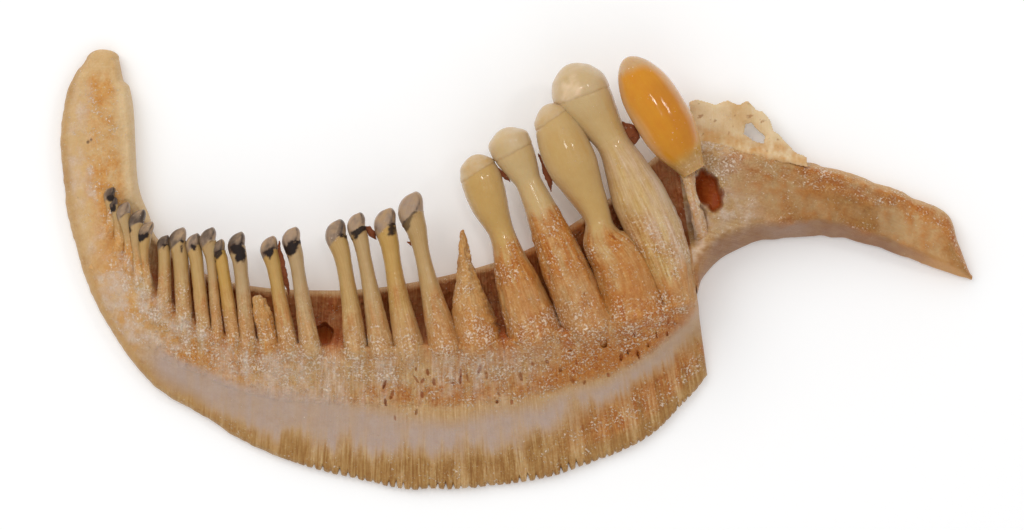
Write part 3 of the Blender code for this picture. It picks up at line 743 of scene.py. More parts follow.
    # Grain: pale specks, partly crumbs of pale bone and partly painted glints, fibres and gloss
    white = band(station, 5.2, 8.4, 0.9) * band(down, -0.1, 0.45, 0.2)
    white = np.maximum(white, band(station, 9.4, 12.0, 0.5) * band(down, -0.5, 0.5, 0.3))
    specks = 0.3 + 0.35 * band(down, -0.3, 0.95, 0.25) * step((station - 4.0) / 1.0) + 0.3 * white
    specks = specks + 0.2 * fine + 0.15 * border * step((station - 8.5) / 1.0)
    specks = specks + 0.15 * bend + 0.3 * rust + 0.4 * centre + 0.1 * dorsal
    specks = specks * (1 - 0.8 * lilac) * (1 - 0.7 * clipped(gap)) * (1 - 0.3 * shelf)
    specks = specks * (0.75 + 0.25 * step((station - 3.0) / 2.0))
    fibre = 0.15 + 0.3 * step((station - 4.5) / 1.5) + 0.25 * border + 0.3 * band(station, 8.0, 9.8, 0.5)
    fibre = fibre * (1 - 0.85 * lilac)
    return tint, clipped(np.stack([specks, fibre, 0.25 + 0.15 * lilac], axis=-1))


class Ground(NamedTuple):
    """The bed's plain colours by place, for the roots that run into it."""

    tree: KDTree
    height: np.ndarray
    tint: np.ndarray
    detail: np.ndarray


GROUND = {}


def ground_at(points):
    """The bed's height, colour and grain at each of the points, as if nothing were hollow there, so without
    the painted shade of the shelf.
    """
    if "bed" not in GROUND:
        grid = arch_grid(np.linspace(2.5, ARCH_END, 320), "bed")
        level = np.repeat(grid.rows.lip_height[:, None], grid.reach.shape[1], axis=1)
        tint, detail = tint_arch(grid, level, 0 * level, wing_share(grid), painted_hollow_shade=False)
        height = plain_front(grid.rows, grid.width, grid.reach[:, ::3])
        spots = grid.points[:, ::3].reshape(-1, 2)
        tree = KDTree(len(spots))
        for i, (x, y) in enumerate(spots.tolist()):
            tree.insert((x, y, 0), i)
        tree.balance()
        colours, grains = tint[:, ::3].reshape(-1, 3), detail[:, ::3].reshape(-1, 3)
        GROUND["bed"] = Ground(tree, np.ravel(height), colours, grains)
    ground = GROUND["bed"]
    nearest = [ground.tree.find((x, y, 0))[1] for x, y in points[..., :2].reshape(-1, 2).tolist()]
    shape = (*points.shape[:-1], 3)
    height = ground.height[nearest].reshape(shape[:-1])
    return height, ground.tint[nearest].reshape(shape), ground.detail[nearest].reshape(shape)


def link(made):
    bpy.context.scene.collection.objects.link(made)
    return made


def mesh_piece(name, points, faces, tint, detail, flow, material):
    """A closed mesh piece with its colours and surface directions on its points."""
    mesh = bpy.data.meshes.new(name)
    mesh.from_pydata((points * MM).tolist(), [], faces)
    made = link(bpy.data.objects.new(name, mesh))
    for label, values in (("tint", tint), ("detail", detail)):
        layer = mesh.attributes.new(label, "FLOAT_COLOR", "POINT")
        layer.data.foreach_set("color", np.column_stack([values, np.ones(len(values))]).ravel())
    uvs = mesh.uv_layers.new(name="flow")
    corners = np.empty(len(mesh.loops), np.int32)
    mesh.loops.foreach_get("vertex_index", corners)
    uvs.data.foreach_set("uv", (flow[corners] * SHEET).ravel())
    mesh.materials.append(material)
    mesh.shade_smooth()
    mesh.set_sharp_from_angle(angle=math.radians(70))
    return made


def ring_faces(rings, around):
    """Faces of a tube of rings of points, without its ends."""
    near = np.arange(around)
    after = (near + 1) % around
    rows = np.arange(rings - 1)[:, None] * around
    quads = np.stack([rows + near, rows + after, rows + after + around, rows + near + around], axis=-1)
    return quads.reshape(-1, 4).tolist()


def tube_faces(rings, around, start=0):
    """Faces of a closed tube of rings of points, with both of its ends."""
    faces = [face[::-1] for face in ring_faces(rings, around)]
    faces.append(list(range(around)))
    faces.append([(rings - 1) * around + i for i in range(around)][::-1])
    return [[i + start for i in face] for face in faces]


def sheet_piece(name, front, back, flow, tint, detail, material):
    """A closed piece from a grid of front points and a coarser grid of back points below it."""
    rings, wide = front.shape[:2]
    coarse = slice(None, None, BACK_STRIDE)
    under = back[:, coarse][:, ::-1]
    ring = np.concatenate([front, under], axis=1)
    around = ring.shape[1]
    count = under.shape[1]
    faces = ring_faces(rings, around)
    ends = []
    for j in range(count - 1):
        top = list(range(j * BACK_STRIDE, (j + 1) * BACK_STRIDE + 1))
        low = [wide + count - 2 - j, wide + count - 1 - j]
        ends.append(top + low)
    last = (rings - 1) * around
    faces += [face[::-1] for face in ends]
    faces += [[last + i for i in face] for face in ends]
    spread_over = [np.concatenate([a, a[:, coarse][:, ::-1]], axis=1).reshape(-1, a.shape[-1])
                   for a in (flow, tint, detail)]
    flow, tint, detail = spread_over
    return mesh_piece(name, ring.reshape(-1, 3), faces, tint, detail, flow, material)


def rounded_tip(top, under):
    """Rings that close the first ring of the dorsal limb to a blunt round tip, put before it."""
    middle = 0.5 * (top[0].mean(axis=0) + under[0].mean(axis=0))
    turn = np.linspace(0, 0.47 * math.pi, TIP_RINGS + 1)[:0:-1]
    lift = np.stack([0.15 * np.sin(turn), TIP_LIFT * np.sin(turn), 0 * turn], axis=-1)[:, None]
    shrink = np.cos(turn)[:, None, None]
    return tuple(np.concatenate([middle + shrink * (side[0] - middle) + lift, side]) for side in (top, under))


def arch_piece(name, stations, part):
    """One stretch of the arch as a piece."""
    grid = arch_grid(stations, part)
    front, gap, share = shape_arch(grid)
    tint, detail = tint_arch(grid, front, gap, share)
    hollow = BACK_HOLLOW * np.minimum(1.0, grid.station / 2)
    back = back_height(grid.reach, grid.width, hollow)
    edge = grid.reach[:, -1:] if part != "bed" else grid.width
    amount = rounding(grid.reach, RIM_ROUND) * rounding(edge - grid.reach, EDGE_ROUND)
    bare = step((grid.reach - LIMB_ROOT_REACH + 0.7) / 0.8)
    closing = rounding(edge_run([ARCH_END])[0] - grid.run, END_ROUND)
    amount = amount * (1 - bare * (1 - closing))
    front, back = rounded(np.maximum(front, back + LEAST_THICK), back, amount)
    flow = np.stack([grid.run, grid.reach], axis=-1)
    top, under = lifted(grid.points, front), lifted(grid.points, back)
    if part == "whole":
        top, under = rounded_tip(top, under)
        flow, tint, detail = (np.concatenate([a[:1].repeat(TIP_RINGS, axis=0), a])
                              for a in (flow, tint, detail))
    return sheet_piece(name, top, under, flow, tint, detail, bone_material())


def stations_between(first, last, spacing):
    """Stations about a spacing in millimetres apart along the bone."""
    fine = np.linspace(first, last, 800)
    run = edge_run(fine)
    count = max(3, round((run[-1] - run[0]) / spacing) + 1)
    return np.interp(np.linspace(run[0], run[-1], count), run, fine)


def comb_stations():
    return stations_between(DORSAL_CUT, MOLAR_CUT, setting("bone_sizes").grain)


def molar_stations():
    return stations_between(MOLAR_CUT, ARCH_END, setting("bone_sizes").grain)


def keep(piece, slot_name, *nodes):
    """Puts a finished piece on the root body and hides the CAD nodes that it stands for. Its finish,
    slot_name, is not used.
    """
    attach(piece, "root")
    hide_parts(*nodes)


def group_with(name, kind, inputs, outputs):
    """A new node group with named sockets, the values that it is given and the sockets of its results."""
    tree = bpy.data.node_groups.new(name, kind)
    for way, sockets in (("INPUT", inputs), ("OUTPUT", outputs)):
        for label, socket_kind in sockets:
            tree.interface.new_socket(label, in_out=way, socket_type="NodeSocket" + socket_kind)
    return tree, tree.nodes.new("NodeGroupInput").outputs, tree.nodes.new("NodeGroupOutput").inputs


def feed(tree, socket, value):
    """Gives an input a value or another node's output."""
    if isinstance(value, bpy.types.NodeSocket):
        tree.links.new(value, socket)
    else:
        socket.default_value = value


def node(tree, kind, wires=(), **settings):
    """A new node with its settings and its inputs, each a value or another node's output."""
    made = tree.nodes.new(kind)
    for label, value in settings.items():
        setattr(made, label, value)
    for label, value in dict(wires).items():
        feed(tree, made.inputs[label], value)
    return made


def ramp(tree, value, low, high):
    """0 below low, 1 above high and smooth between."""
    return node(tree, "ShaderNodeMapRange", {"Value": value, "From Min": low, "From Max": high},
                interpolation_type="SMOOTHSTEP").outputs["Result"]


def maths(tree, operation, first, second):
    return node(tree, "ShaderNodeMath", {0: first, 1: second}, operation=operation).outputs[0]


def mixed(tree, share, first, second):
    """One colour going over into another."""
    return node(tree, "ShaderNodeMix", {0: share, 6: first, 7: second}, data_type="RGBA").outputs[2]


def plus(tree, total, value, factor):
    """A total with a value times a factor added to it."""
    return maths(tree, "ADD", total, maths(tree, "MULTIPLY", value, factor))


def swing(tree, value, factor):
    """A value from 0 to 1 as one from -0.5 to 0.5, times a factor."""
    return maths(tree, "MULTIPLY", maths(tree, "SUBTRACT", value, 0.5), factor)


def noise_node(tree, place, scale, detail, roughness, distortion=0.0):
    return node(tree, "ShaderNodeTexNoise", {"Vector": place, "Scale": scale, "Detail": detail,
                                             "Roughness": roughness, "Distortion": distortion}).outputs["Fac"]


def grain_group():
    """Shared bone grain: pale specks, partly crumbs of pale bone and partly painted glints, fine fibres along
    the flow map and a mottled tone.
    """
    found = bpy.data.node_groups.get("bone grain")
    if found:
        return found
    tree, start, end = group_with(
        "bone grain", "ShaderNodeTree",
        [("Tint", "Color"), ("Specks", "Float"), ("Fibres", "Float"), ("Speck Colour", "Color"),
         ("Speck Size", "Float"), ("Fibre Width", "Float")],
        [("Colour", "Color"), ("Height", "Float")],
    )
    place = tree.nodes.new("ShaderNodeTexCoord").outputs["Object"]
    flow = node(tree, "ShaderNodeUVMap", uv_map="flow").outputs["UV"]
    crumbs = noise_node(tree, place, maths(tree, "DIVIDE", 1 / MM, start["Speck Size"]), 4.0, 0.62, 0.3)
    clumps = noise_node(tree, place, 0.9 / MM, 3.0, 0.6)
    mottle = noise_node(tree, place, 1.6 / MM, 5.0, 0.65)
    stretched = node(tree, "ShaderNodeMapping", {"Vector": flow, "Scale": (1.0, 0.06, 1.0)}).outputs["Vector"]
    narrow = maths(tree, "DIVIDE", 1 / SHEET, start["Fibre Width"])
    strands = noise_node(tree, stretched, narrow, 3.0, 0.6, 0.2)
    heaps = maths(tree, "ADD", crumbs, swing(tree, clumps, 0.35))
    limit = maths(tree, "SUBTRACT", 0.69, maths(tree, "MULTIPLY", start["Specks"], 0.17))
    speck = ramp(tree, maths(tree, "SUBTRACT", heaps, limit), 0.0, 0.07)
    strand = swing(tree, strands, start["Fibres"])
    tone = maths(tree, "ADD", 1.0, swing(tree, mottle, plus(tree, 0.2, start["Specks"], 0.9)))
    tone = plus(tree, tone, strand, 1.5)
    tone = plus(tree, tone, swing(tree, crumbs, start["Specks"]), 1.6)
    power = maths(tree, "MAXIMUM", maths(tree, "SUBTRACT", 2.0, tone), 0.5)
    warmed = node(tree, "ShaderNodeGamma", {"Color": start["Tint"], "Gamma": power}).outputs["Color"]
    # The pale speck colour laid over the tint: partly crumbs of pale bone, partly painted glints.
    feed(tree, end["Colour"], mixed(tree, maths(tree, "MULTIPLY", speck, 0.7), warmed, start["Speck Colour"]))
    height = plus(tree, maths(tree, "MULTIPLY", speck, 0.6), strand, 1.6)
    feed(tree, end["Height"], plus(tree, height, crumbs, 0.8))
    return tree


def painted_material(name, speck_size, fibre_width, bump, roughness, settings, coat=0.0):
    """A material that reads the piece's own tint and detail, with the shared bone grain on it."""
    found = bpy.data.materials.get(name)
    if found:
        return found
    made = bpy.data.materials.new(name)
    made.use_nodes = True
    tree = made.node_tree
    shader = tree.nodes["Principled BSDF"]
    tint, detail = (node(tree, "ShaderNodeAttribute", attribute_name=label).outputs["Color"]
                    for label in ("tint", "detail"))
    parts = node(tree, "ShaderNodeSeparateColor", {"Color": detail}).outputs
    wires = {"Tint": tint, "Specks": parts["Red"], "Fibres": parts["Green"],
             "Speck Colour": (*colour_of("speck"), 1), "Speck Size": speck_size, "Fibre Width": fibre_width}
    grain = node(tree, "ShaderNodeGroup", node_tree=grain_group())
    for label, value in wires.items():
        feed(tree, grain.inputs[label], value)
    relief = node(tree, "ShaderNodeBump", {"Height": grain.outputs["Height"], "Strength": 1.0,
                                           "Distance": bump * MM})
    rough = node(tree, "ShaderNodeMapRange", {"Value": parts["Blue"], "To Min": roughness[0],
                                              "To Max": roughness[1]})
    varnish = maths(tree, "MULTIPLY", parts["Blue"], coat)
    settings = {"Base Color": grain.outputs["Colour"], "Normal": relief.outputs["Normal"],
                "Roughness": rough.outputs["Result"], "Coat Weight": varnish, **settings}
    for label, value in settings.items():
        feed(tree, shader.inputs[label], value)
    return made


def bone_material():
    return painted_material(
        "dry bone", 0.15, 0.12, 0.035, (0.6, 0.3),
        {"Specular IOR Level": 0.4, "Subsurface Weight": 0.15, "Subsurface Radius": (1.0, 0.5, 0.2),
         "Subsurface Scale": 0.3 * MM},
    )


def tooth_material():
    return painted_material(
        "tooth", 0.15, 0.12, 0.03, (0.6, 0.2),
        {"Specular IOR Level": 0.4, "Subsurface Weight": 0.25, "Subsurface Radius": (1.0, 0.55, 0.25),
         "Subsurface Scale": 0.5 * MM, "Coat Roughness": 0.07}, coat=0.6,
    )


def amber_material():
    return painted_material(
        "amber tooth", 0.18, 0.2, 0.002, (0.4, 0.1),
        {"Specular IOR Level": 0.3, "Subsurface Weight": 0.45, "Subsurface Radius": (1.0, 0.45, 0.12),
         "Subsurface Scale": 0.7 * MM, "Coat Roughness": 0.05}, coat=0.6,
    )


def tissue_material():
    return painted_material("dried tissue", 0.15, 0.1, 0.04, (0.6, 0.25), {"Specular IOR Level": 0.5})


class Tube(NamedTuple):
    """Rings of points round a path, with each point's offsets from it and the angle of each column."""

    points: np.ndarray
    wide: np.ndarray
    tall: np.ndarray
    turns: np.ndarray


def tube_rings(centres, half_widths, half_depths, sides, upright=True):
    """A tube round a path. Upright rings stand at right angles to the ground."""
    tangents = np.gradient(centres, axis=0)
    if upright:
        tangents[:, 2] = 0
    tangents /= np.linalg.norm(tangents, axis=1)[:, None]
    side = np.cross(tangents, (0, 0, 1))
    side /= np.linalg.norm(side, axis=1)[:, None]
    up = np.cross(side, tangents)
    turns = np.arange(sides) * 2 * math.pi / sides
    wide = half_widths[:, None] * np.cos(turns)
    tall = half_depths[:, None] * np.sin(turns)
    points = centres[:, None] + wide[..., None] * side[:, None] + tall[..., None] * up[:, None]
    points[..., 2] = np.maximum(points[..., 2], ROOT_FLOOR)
    return Tube(points, wide, tall, turns)


def round_place(turns, along, radius):
    """Places round a straight tube, for patterns that have no seam."""
    return np.stack([np.cos(turns) * radius + 0 * along, np.sin(turns) * radius + 0 * along, along], axis=-1)


def tube_flow(turns, along, radius, shift=0.0):
    """Surface directions of a tube: round each half of it, and along it."""
    girth = np.abs(np.where(turns > math.pi, turns - 2 * math.pi, turns))
    return np.stack([girth * radius + 0 * along, along + shift], axis=-1)


def side_share(wide):
    """Place across each ring, from -1 at one side to 1 at the other."""
    return wide / np.maximum(np.abs(wide).max(axis=1)[:, None], 1e-6)


def raised(tube, points, relief, fade):
    """Points of a tube moved outwards by a relief that fades out towards the tip."""
    outward = np.stack([np.cos(tube.turns), 0 * tube.turns, np.sin(tube.turns)], axis=-1)
    return points + relief[..., None] * outward * fade[..., None]


def tube_piece(name, tubes, material):
    """Closed tubes as one piece. Each is its points, flow, tint and detail, ring by ring."""
    faces, start = [], 0
    for points, *_ in tubes:
        rings, around = points.shape[:2]
        faces += tube_faces(rings, around, start)
        start += rings * around
    points, flow, tint, detail = (np.concatenate([field.reshape(-1, field.shape[-1]) for field in fields])
                                  for fields in zip(*tubes))
    return mesh_piece(name, points, faces, tint, detail, flow, material)


def facet(points, from_tip, wide, tall, line):
    """Cuts the worn facet on the upper side of a crown. Line is where it ends, by distance from the tip."""
    sizes = setting("tooth_sizes")
    crown = tall[from_tip[:, 0] < 1.2 * line].max()
    inside = line - sizes.facet_slope * wide - from_tip
    plane = crown * (0.97 - sizes.facet_drop * np.clip(inside, 0, None) / line)
    plane = np.maximum(plane, -0.3 * tall.max(axis=1)[:, None])
    height = points[..., 2] - tall
    cut = np.minimum(points[..., 2], height + plane)
    points[..., 2] = np.where(inside > 0, cut, points[..., 2])
    worn = step(inside / 0.06) * step((tall - plane) / 0.02)
    brim = np.exp(-(((tall - plane) / 0.07) ** 2)) * step(inside / 0.05)
    return inside, worn, brim


def root_path(foot, heading, row, past, half_depth, length):
    """Places and heights of a root's middle at distances past its foot, sinking under the front face."""
    flat = foot + past[:, None] * heading
    ground = ground_at(np.concatenate([foot[None], flat]))[0]
    fall = step(past / length)
    top = ground[1:] + (row.lip_height - ground[0]) * (1 - fall) - (0.25 + 0.6 * half_depth) * fall
    return flat, top - ROOT_SINK * half_depth


def crown_halves(from_tip, widths, tip_row):
    """Half widths at distances from the tip, rounded off before the given row of the widths."""
    places, full = zip(*widths)
    half = 0.5 * smooth(np.clip(from_tip, 0, places[-1]), places, full)
    opening = np.sqrt(clipped(from_tip / places[tip_row]))
    return np.where(from_tip < places[tip_row], 0.5 * full[tip_row] * np.maximum(opening, 0.03), half)


def slender_points(tooth, spacing=0.06, sides=40):
    """A slender tooth's tube from the sunk end of its root to its tip, each ring's place and the tip's."""
    foot, down, row = tooth_foot(tooth.station)
    rise = np.subtract(tooth.tip, foot)
    heading = root_heading(down, rise)
    reach = np.linalg.norm(rise)
    rise = rise / reach
    aside = np.array([rise[1], -rise[0]])
    crown_at, neck_at = 0.75 * tooth.crown, 2.4 * tooth.crown
    even = np.arange(-ROOT_RUN, reach - crown_at, spacing)
    cap = np.linspace(0, 1, 26)[1:]
    lengths = np.concatenate([even, even[-1] + (reach - even[-1]) * np.sin(cap * math.pi / 2)])
    narrow = max(0.2 * reach, reach - neck_at)
    widest = even[-1]
    share = clipped(lengths / reach)
    body = smooth(np.clip(lengths, 0, widest), [0, narrow / 3, narrow, widest],
                  [tooth.foot, 0.45 * tooth.neck + 0.55 * tooth.foot, tooth.neck, tooth.crown])
    if tooth.shape:
        body = tooth.foot * smooth(share, *zip(*tooth.shape))
    body = body * (1 - 0.3 * step(-lengths / ROOT_RUN))
    closed = np.clip(lengths - widest, 0, None) / (reach - widest)
    point = 1.55 + 0.35 * step((tooth.station - 6.9) / 0.5)
    half = 0.5 * body * np.maximum(clipped(1 - closed**point) ** 0.62, 0.04)
    depth = half * SLENDER_FLATNESS
    flat = foot + lengths[:, None] * rise + (tooth.bow * np.sin(math.pi * share))[:, None] * aside
    hook = -0.1 * tooth.crown * np.exp(-(((lengths - widest) / (0.5 * tooth.crown)) ** 2))
    skew = 0.24 * tooth.crown * step((lengths - widest) / (reach - widest)) + hook
    flat = flat + skew[:, None] * aside
    height = row.lip_height - ROOT_SINK * 0.5 * tooth.foot * SLENDER_FLATNESS + STEM_RISE * lengths
    sunk = lengths < 0
    flat[sunk], height[sunk] = root_path(foot, heading, row, -lengths[sunk], depth[sunk], ROOT_RUN)
    return tube_rings(np.column_stack([flat, height]), half, depth, sides), lengths, reach


def slender_tooth(index, tooth):
    """Points, flow, colours and grain of one slender tooth."""
    tube, lengths, reach = slender_points(tooth)
    points, wide, tall, turns = tube
    along = np.repeat(lengths[:, None], len(turns), axis=1)
    near = round_place(turns, along, 0.6) + 20.0 * index
    fine = layered(near, 0.35, 51)
    soft = layered(near, 1.3, 53)
    streak = layered(near, (0.18, 0.18, 1.6), 55)
    side = side_share(wide)
    upper = np.sin(turns) + 0 * along
    tint = plain(colour_of("cream") * (1 - tooth.warmth) + colour_of("honey") * tooth.warmth, along.shape)
    root = step((0.6 * reach + 0.5 * soft - along) / (0.45 * reach))
    # Painted shade: the right side of the lower stem laid darker amber brown.
    shade = step((side - 0.2 + 0.3 * soft) / 0.8) * step((0.85 * reach - along) / (0.7 * reach))
    tint = paint(tint, "amber_brown", shade * (0.35 + 0.3 * tooth.warmth))
    tint = paint(tint, "tan", root * clipped(0.7 + 0.3 * streak))
    tint = paint(tint, "orange", root * clipped(0.2 + 0.7 * streak + 0.3 * soft))
    _, ground, ground_detail = ground_at(points)
    tint = paint(tint, ground, step((0.32 * reach - along + 0.4 * streak) / (0.3 * reach)))
    # Painted shade on the underside of the stem.
    under = step((0.1 - upper) / 0.6) * step((0.6 * reach - along) / (0.4 * reach))
    tint = paint(tint, "hollow", under * 0.5)
    if tooth.shape:
        tint = paint(tint, ground, 0.7 + 0 * along)
        tint = paint(tint, "orange_light", clipped(0.2 + 0.6 * streak))
        ragged = 0.08 * layered(near, 0.35, 57) * step(along / 1.0) * step((reach - along) / 0.8)
        points = points + ragged[..., None] * np.array([1.0, 0.3, 0.8])
        patch = worn = 0 * along
        root = 1 + 0 * along
    else:
        line = setting("tooth_sizes").facet_length * tooth.crown
        inside, worn, brim = facet(points, reach - along, wide, tall, line)
        cap = step((inside + 0.1) / 0.16)
        tint = paint(tint, "facet", cap * clipped(0.85 + 0.25 * fine))
        dark = 0.1 + 0.3 * step((8.6 - tooth.station) / 0.4) + 0.25 * step((6.6 - tooth.station) / 1.2)
        tint = paint(tint, "facet_dark", cap * clipped(dark + 0.6 * soft + 0.4 * fine))
        place, half, length, strength = tooth.stain
        low = -inside / (length * tooth.crown)
        patch = step((1.0 - np.abs(side - place) / half + 0.5 * fine + 0.25 * soft) / 0.7)
        patch = patch * step((low + 0.3 + 0.25 * fine) / 0.3)
        patch = patch * step((1.05 - low + 0.55 * soft + 0.3 * fine) / 0.6) * step((upper + 0.75) / 0.4)
        tint = paint(tint, "stain_brown", clipped(1.6 * patch) * strength * 0.7)
        tint = paint(tint, "stain", step((patch - 0.25) / 0.6) * strength)
        rim = brim * step((side + 0.2) / 0.6) * clipped(0.8 + 0.6 * fine)
        tint = paint(tint, "stain", clipped(rim) * 0.8)
    relief = setting("tooth_sizes").root_relief * streak * root + 0.012 * fine
    points = raised(tube, points, relief, step((reach - along) / 0.4))
    gloss = clipped(0.6 * (1 - root) - 0.25 * worn - patch)
    detail = np.stack([root * (0.6 + 0.3 * soft), 0.2 + 0.5 * root, gloss], axis=-1)
    own = step((0.4 * reach - along) / (0.3 * reach))[..., None]
    detail = clipped(detail * (1 - own) + ground_detail * own)
    return points, tube_flow(turns, along, 0.5 * tooth.foot, 7.0 * index), tint, detail


def molar_points(tooth, spacing=0.075, sides=80):
    """A molar's tube from the sunk end of its root to its tip, each ring's place and the foot's."""
    _, down, row = tooth_foot(tooth.station)
    line = np.array(tooth.line)
    run = run_along(line)
    reach = run[-1]
    near_tip = ROUND_END * (1 - np.cos(np.linspace(0, math.pi / 2, 30)))
    root_run = MOLAR_ROOT_RUN * (LAST_ROOT_SHARE if tooth.lift < 0 else 1)
    from_tip = np.concatenate([near_tip, np.arange(ROUND_END + spacing, reach + root_run, spacing)])[::-1]
    flat = curve(np.clip(from_tip, 0, reach), run, line)
    half = crown_halves(from_tip, tooth.widths, 1)
    depth = half * MOLAR_FLATNESS
    foot_depth = 0.5 * tooth.widths[-1][1] * MOLAR_FLATNESS
    height = row.lip_height - ROOT_SINK * foot_depth + STEM_RISE * (reach - from_tip)
    height = height + tooth.lift * step((reach - from_tip) / (0.5 * reach))
    sunk = from_tip > reach
    past = from_tip[sunk] - reach
    half[sunk] *= 1 - 0.55 * step(past / root_run)
    heading = root_heading(down, line[-2] - line[-1])
    flat[sunk], height[sunk] = root_path(line[-1], heading, row, past, depth[sunk], root_run)
    return tube_rings(np.column_stack([flat, height]), half, depth, sides), from_tip, reach


def molar_tooth(index, tooth):
    """Points, flow, colours and grain of one molar."""
    tube, from_tip, reach = molar_points(tooth)
    points, wide, _, turns = tube
    away = np.repeat(from_tip[:, None], len(turns), axis=1)
    circle = round_place(turns, away, 1.2) + 31.0 * (index + 1)
    fine = layered(circle, 0.5, 61)
    soft = layered(circle, 2.0, 63)
    streak = layered(circle, (0.3, 0.3, 2.6), 65)
    side = side_share(wide)
    upper = np.sin(turns) + 0 * away
    tint = plain(colour_of("ivory") * (1 - tooth.warmth) + colour_of("honey") * tooth.warmth, away.shape)
    root = step((away - tooth.root + 0.9 * soft + 0.5 * streak) / 1.8)
    middle = band(away, 0.35 * tooth.root, tooth.root, 1.5)
    tint = paint(tint, "honey", middle * (0.25 + 0.6 * tooth.warmth) * clipped(0.7 + 0.3 * soft))
    tint = paint(tint, "tan", root * 0.6)
    tint = paint(tint, "orange", root * clipped(0.65 + 0.6 * streak + 0.3 * soft))
    _, ground, ground_detail = ground_at(points)
    last = tooth.lift < 0
    begin = 0.84 if last else 0.62
    into = step((away - begin * reach + 0.8 * streak) / ((0.95 - begin) * reach))
    tint = paint(tint, ground, into * 0.9)
    pale = step((away - 5.0) / 3.0) * (1 - into) * last
    tint = paint(tint, "honey", pale * 0.4)
    tint = paint(tint, "lilac_light", pale * clipped(0.3 + 0.4 * side + 0.4 * streak))
    # Painted sheen: the crown paler along both sides, where light shows through the thin edge as it turns
    # away.
    tint = paint(tint, "cap", step((np.abs(side) - 0.55) / 0.4) * (1 - root) * 0.45)
    # Painted shade: the left side of the molar laid darker amber brown.
    left = step((-side - 0.35 + 0.2 * soft) / 0.6) * step((away - 3.0) / 4.0)
    tint = paint(tint, "amber_brown", left * 0.45)
    # Painted shade on the underside of the molar.
    under = step((0.05 - upper) / 0.6) * step((away - 0.4 * reach) / (0.3 * reach))
    tint = paint(tint, "hollow", under * 0.6)
    inside = tooth.cap - tooth.slant * wide - away + 0.05 * fine
    cap = step((inside + 0.06) / 0.12)
    tint = paint(tint, "cap", cap * clipped(0.35 + 0.25 * fine + 0.2 * soft))
    cap_line = np.exp(-((inside / 0.06) ** 2))
    tint = paint(tint, "amber_brown", cap_line * 0.18)
    if last:
        patch = 0.9 - np.linalg.norm(points[..., :2] - WHITE_PATCH, axis=-1) + 0.3 * fine
        tint = paint(tint, colour_of("cap") * 1.25, step(patch / 0.5) * clipped(0.6 + 0.7 * fine))
    # Painted shade: the slits in the roots are laid deep brown, and cut in below.
    slits = step((layered(circle, (0.2, 0.2, 1.7), 69) - 0.85) / 0.3) * root * step(upper / 0.3)
    slits = slits * step((reach - away) / 1.5)
    tint = paint(tint, "deep", slits * 0.75)
    fibres = 1.4 * setting("tooth_sizes").root_relief * streak + 0.04 * layered(circle, 0.45, 67)
    relief = fibres * root + 0.015 * soft + 0.04 * cap - 0.03 * cap_line - 0.16 * slits
    points = raised(tube, points, relief, step(away / 0.8))
    gloss = clipped(0.95 * (1 - root) * (1 - 0.85 * pale) - 0.2 * cap)
    specks = clipped(root * (0.6 + 0.35 * soft)) + 0.25 * pale
    detail = np.stack([specks, 0.05 + 0.6 * root + 0.6 * pale, gloss], axis=-1)
    detail = clipped(detail * (1 - into[..., None]) + ground_detail * into[..., None])
    return points, tube_flow(turns, away, 1.4, 11.0 * index), tint, detail


def young_molar(spacing=0.06, sides=96):
    """The youngest molar, glossy amber with a pale rim of painted sheen along its sides."""
    line = np.array([YOUNG_TIP, YOUNG_ROOT])
    reach = np.linalg.norm(line[1] - line[0])
    near_tip = ROUND_END * (1 - np.cos(np.linspace(0, math.pi / 2, 34)))
    from_tip = np.concatenate([near_tip, np.arange(ROUND_END + spacing, reach, spacing)])[::-1]
    flat = line[0] + from_tip[:, None] / reach * (line[1] - line[0])
    half = crown_halves(from_tip, YOUNG_WIDTHS, 2)
    heights = YOUNG_HEIGHT - YOUNG_DROP * (1 - step((reach - from_tip) / (0.5 * reach)))
    tube = tube_rings(np.column_stack([flat, heights]), half, 0.95 * half, sides, upright=False)
    away = np.repeat(from_tip[:, None], sides, axis=1)
    circle = round_place(tube.turns, away, 1.5)
    soft = layered(circle, 1.8, 81)
    fine = layered(circle, 0.4, 83)
    side = side_share(tube.wide)
    tint = plain(colour_of("amber"), away.shape)
    tint = paint(tint, "amber_deep", band(away, 3.2, 6.2, 1.2) * step((side + 0.2) / 0.6) * 0.6)
    # Painted sheen: paler along both sides, where light shows through the thin edge as it turns away.
    rim = step((np.abs(side + 0.05 * soft) - 0.62) / 0.3)
    tint = paint(tint, "amber_rim", rim * (0.75 + 0.15 * fine))
    tint = paint(tint, "amber_tip", step((1.5 + 0.3 * soft + 0.3 * side - away) / 0.9) * 0.8)
    base = step((away - 6.4 + 0.3 * soft) / 1.4)
    tint = paint(tint, "honey", base * 0.9)
    tint = paint(tint, "tan", step((away - 7.2) / 1.0) * 0.7)
    tube.points[..., 2] += 0.004 * fine
    rough = step((away - 3.4 + 1.2 * side) / 1.5)
    detail = np.stack([0.05 * rough + 0.3 * base, 0.1 + 0.2 * base, 0.95 - 0.25 * rough], axis=-1)
    return tube.points, tube_flow(tube.turns, away, 1.7), tint, detail


def strut_tube(rings=110, sides=48):
    """The porous strut that the youngest molar stands on."""
    share = np.linspace(0, 1, rings)
    centres = curve(share, np.linspace(0, 1, len(STRUT)), STRUT)
    half = STRUT_WIDTH * (0.36 + 0.5 * step(0.6 - 2 * share) + 0.3 * step(2 * share - 1))
    tube = tube_rings(centres, half, 0.9 * half, sides, upright=False)
    away = np.repeat(share[:, None] * STRUT_LENGTH, sides, axis=1)
    circle = round_place(tube.turns, away, 0.6)
    fine = layered(circle, 0.4, 91)
    streak = layered(circle, (0.2, 0.2, 1.2), 93)
    tint = plain(colour_of("tan"), away.shape)
    tint = paint(tint, "lilac_light", clipped(0.45 + 0.6 * fine))
    tint = paint(tint, "orange", clipped(0.6 * streak))
    tube.points[..., 0] += 0.07 * fine
    tube.points[..., 2] += 0.05 * streak
    return tube.points, tube_flow(tube.turns, away, 0.5), tint, plain((0.75, 0.5, 0.15), away.shape)


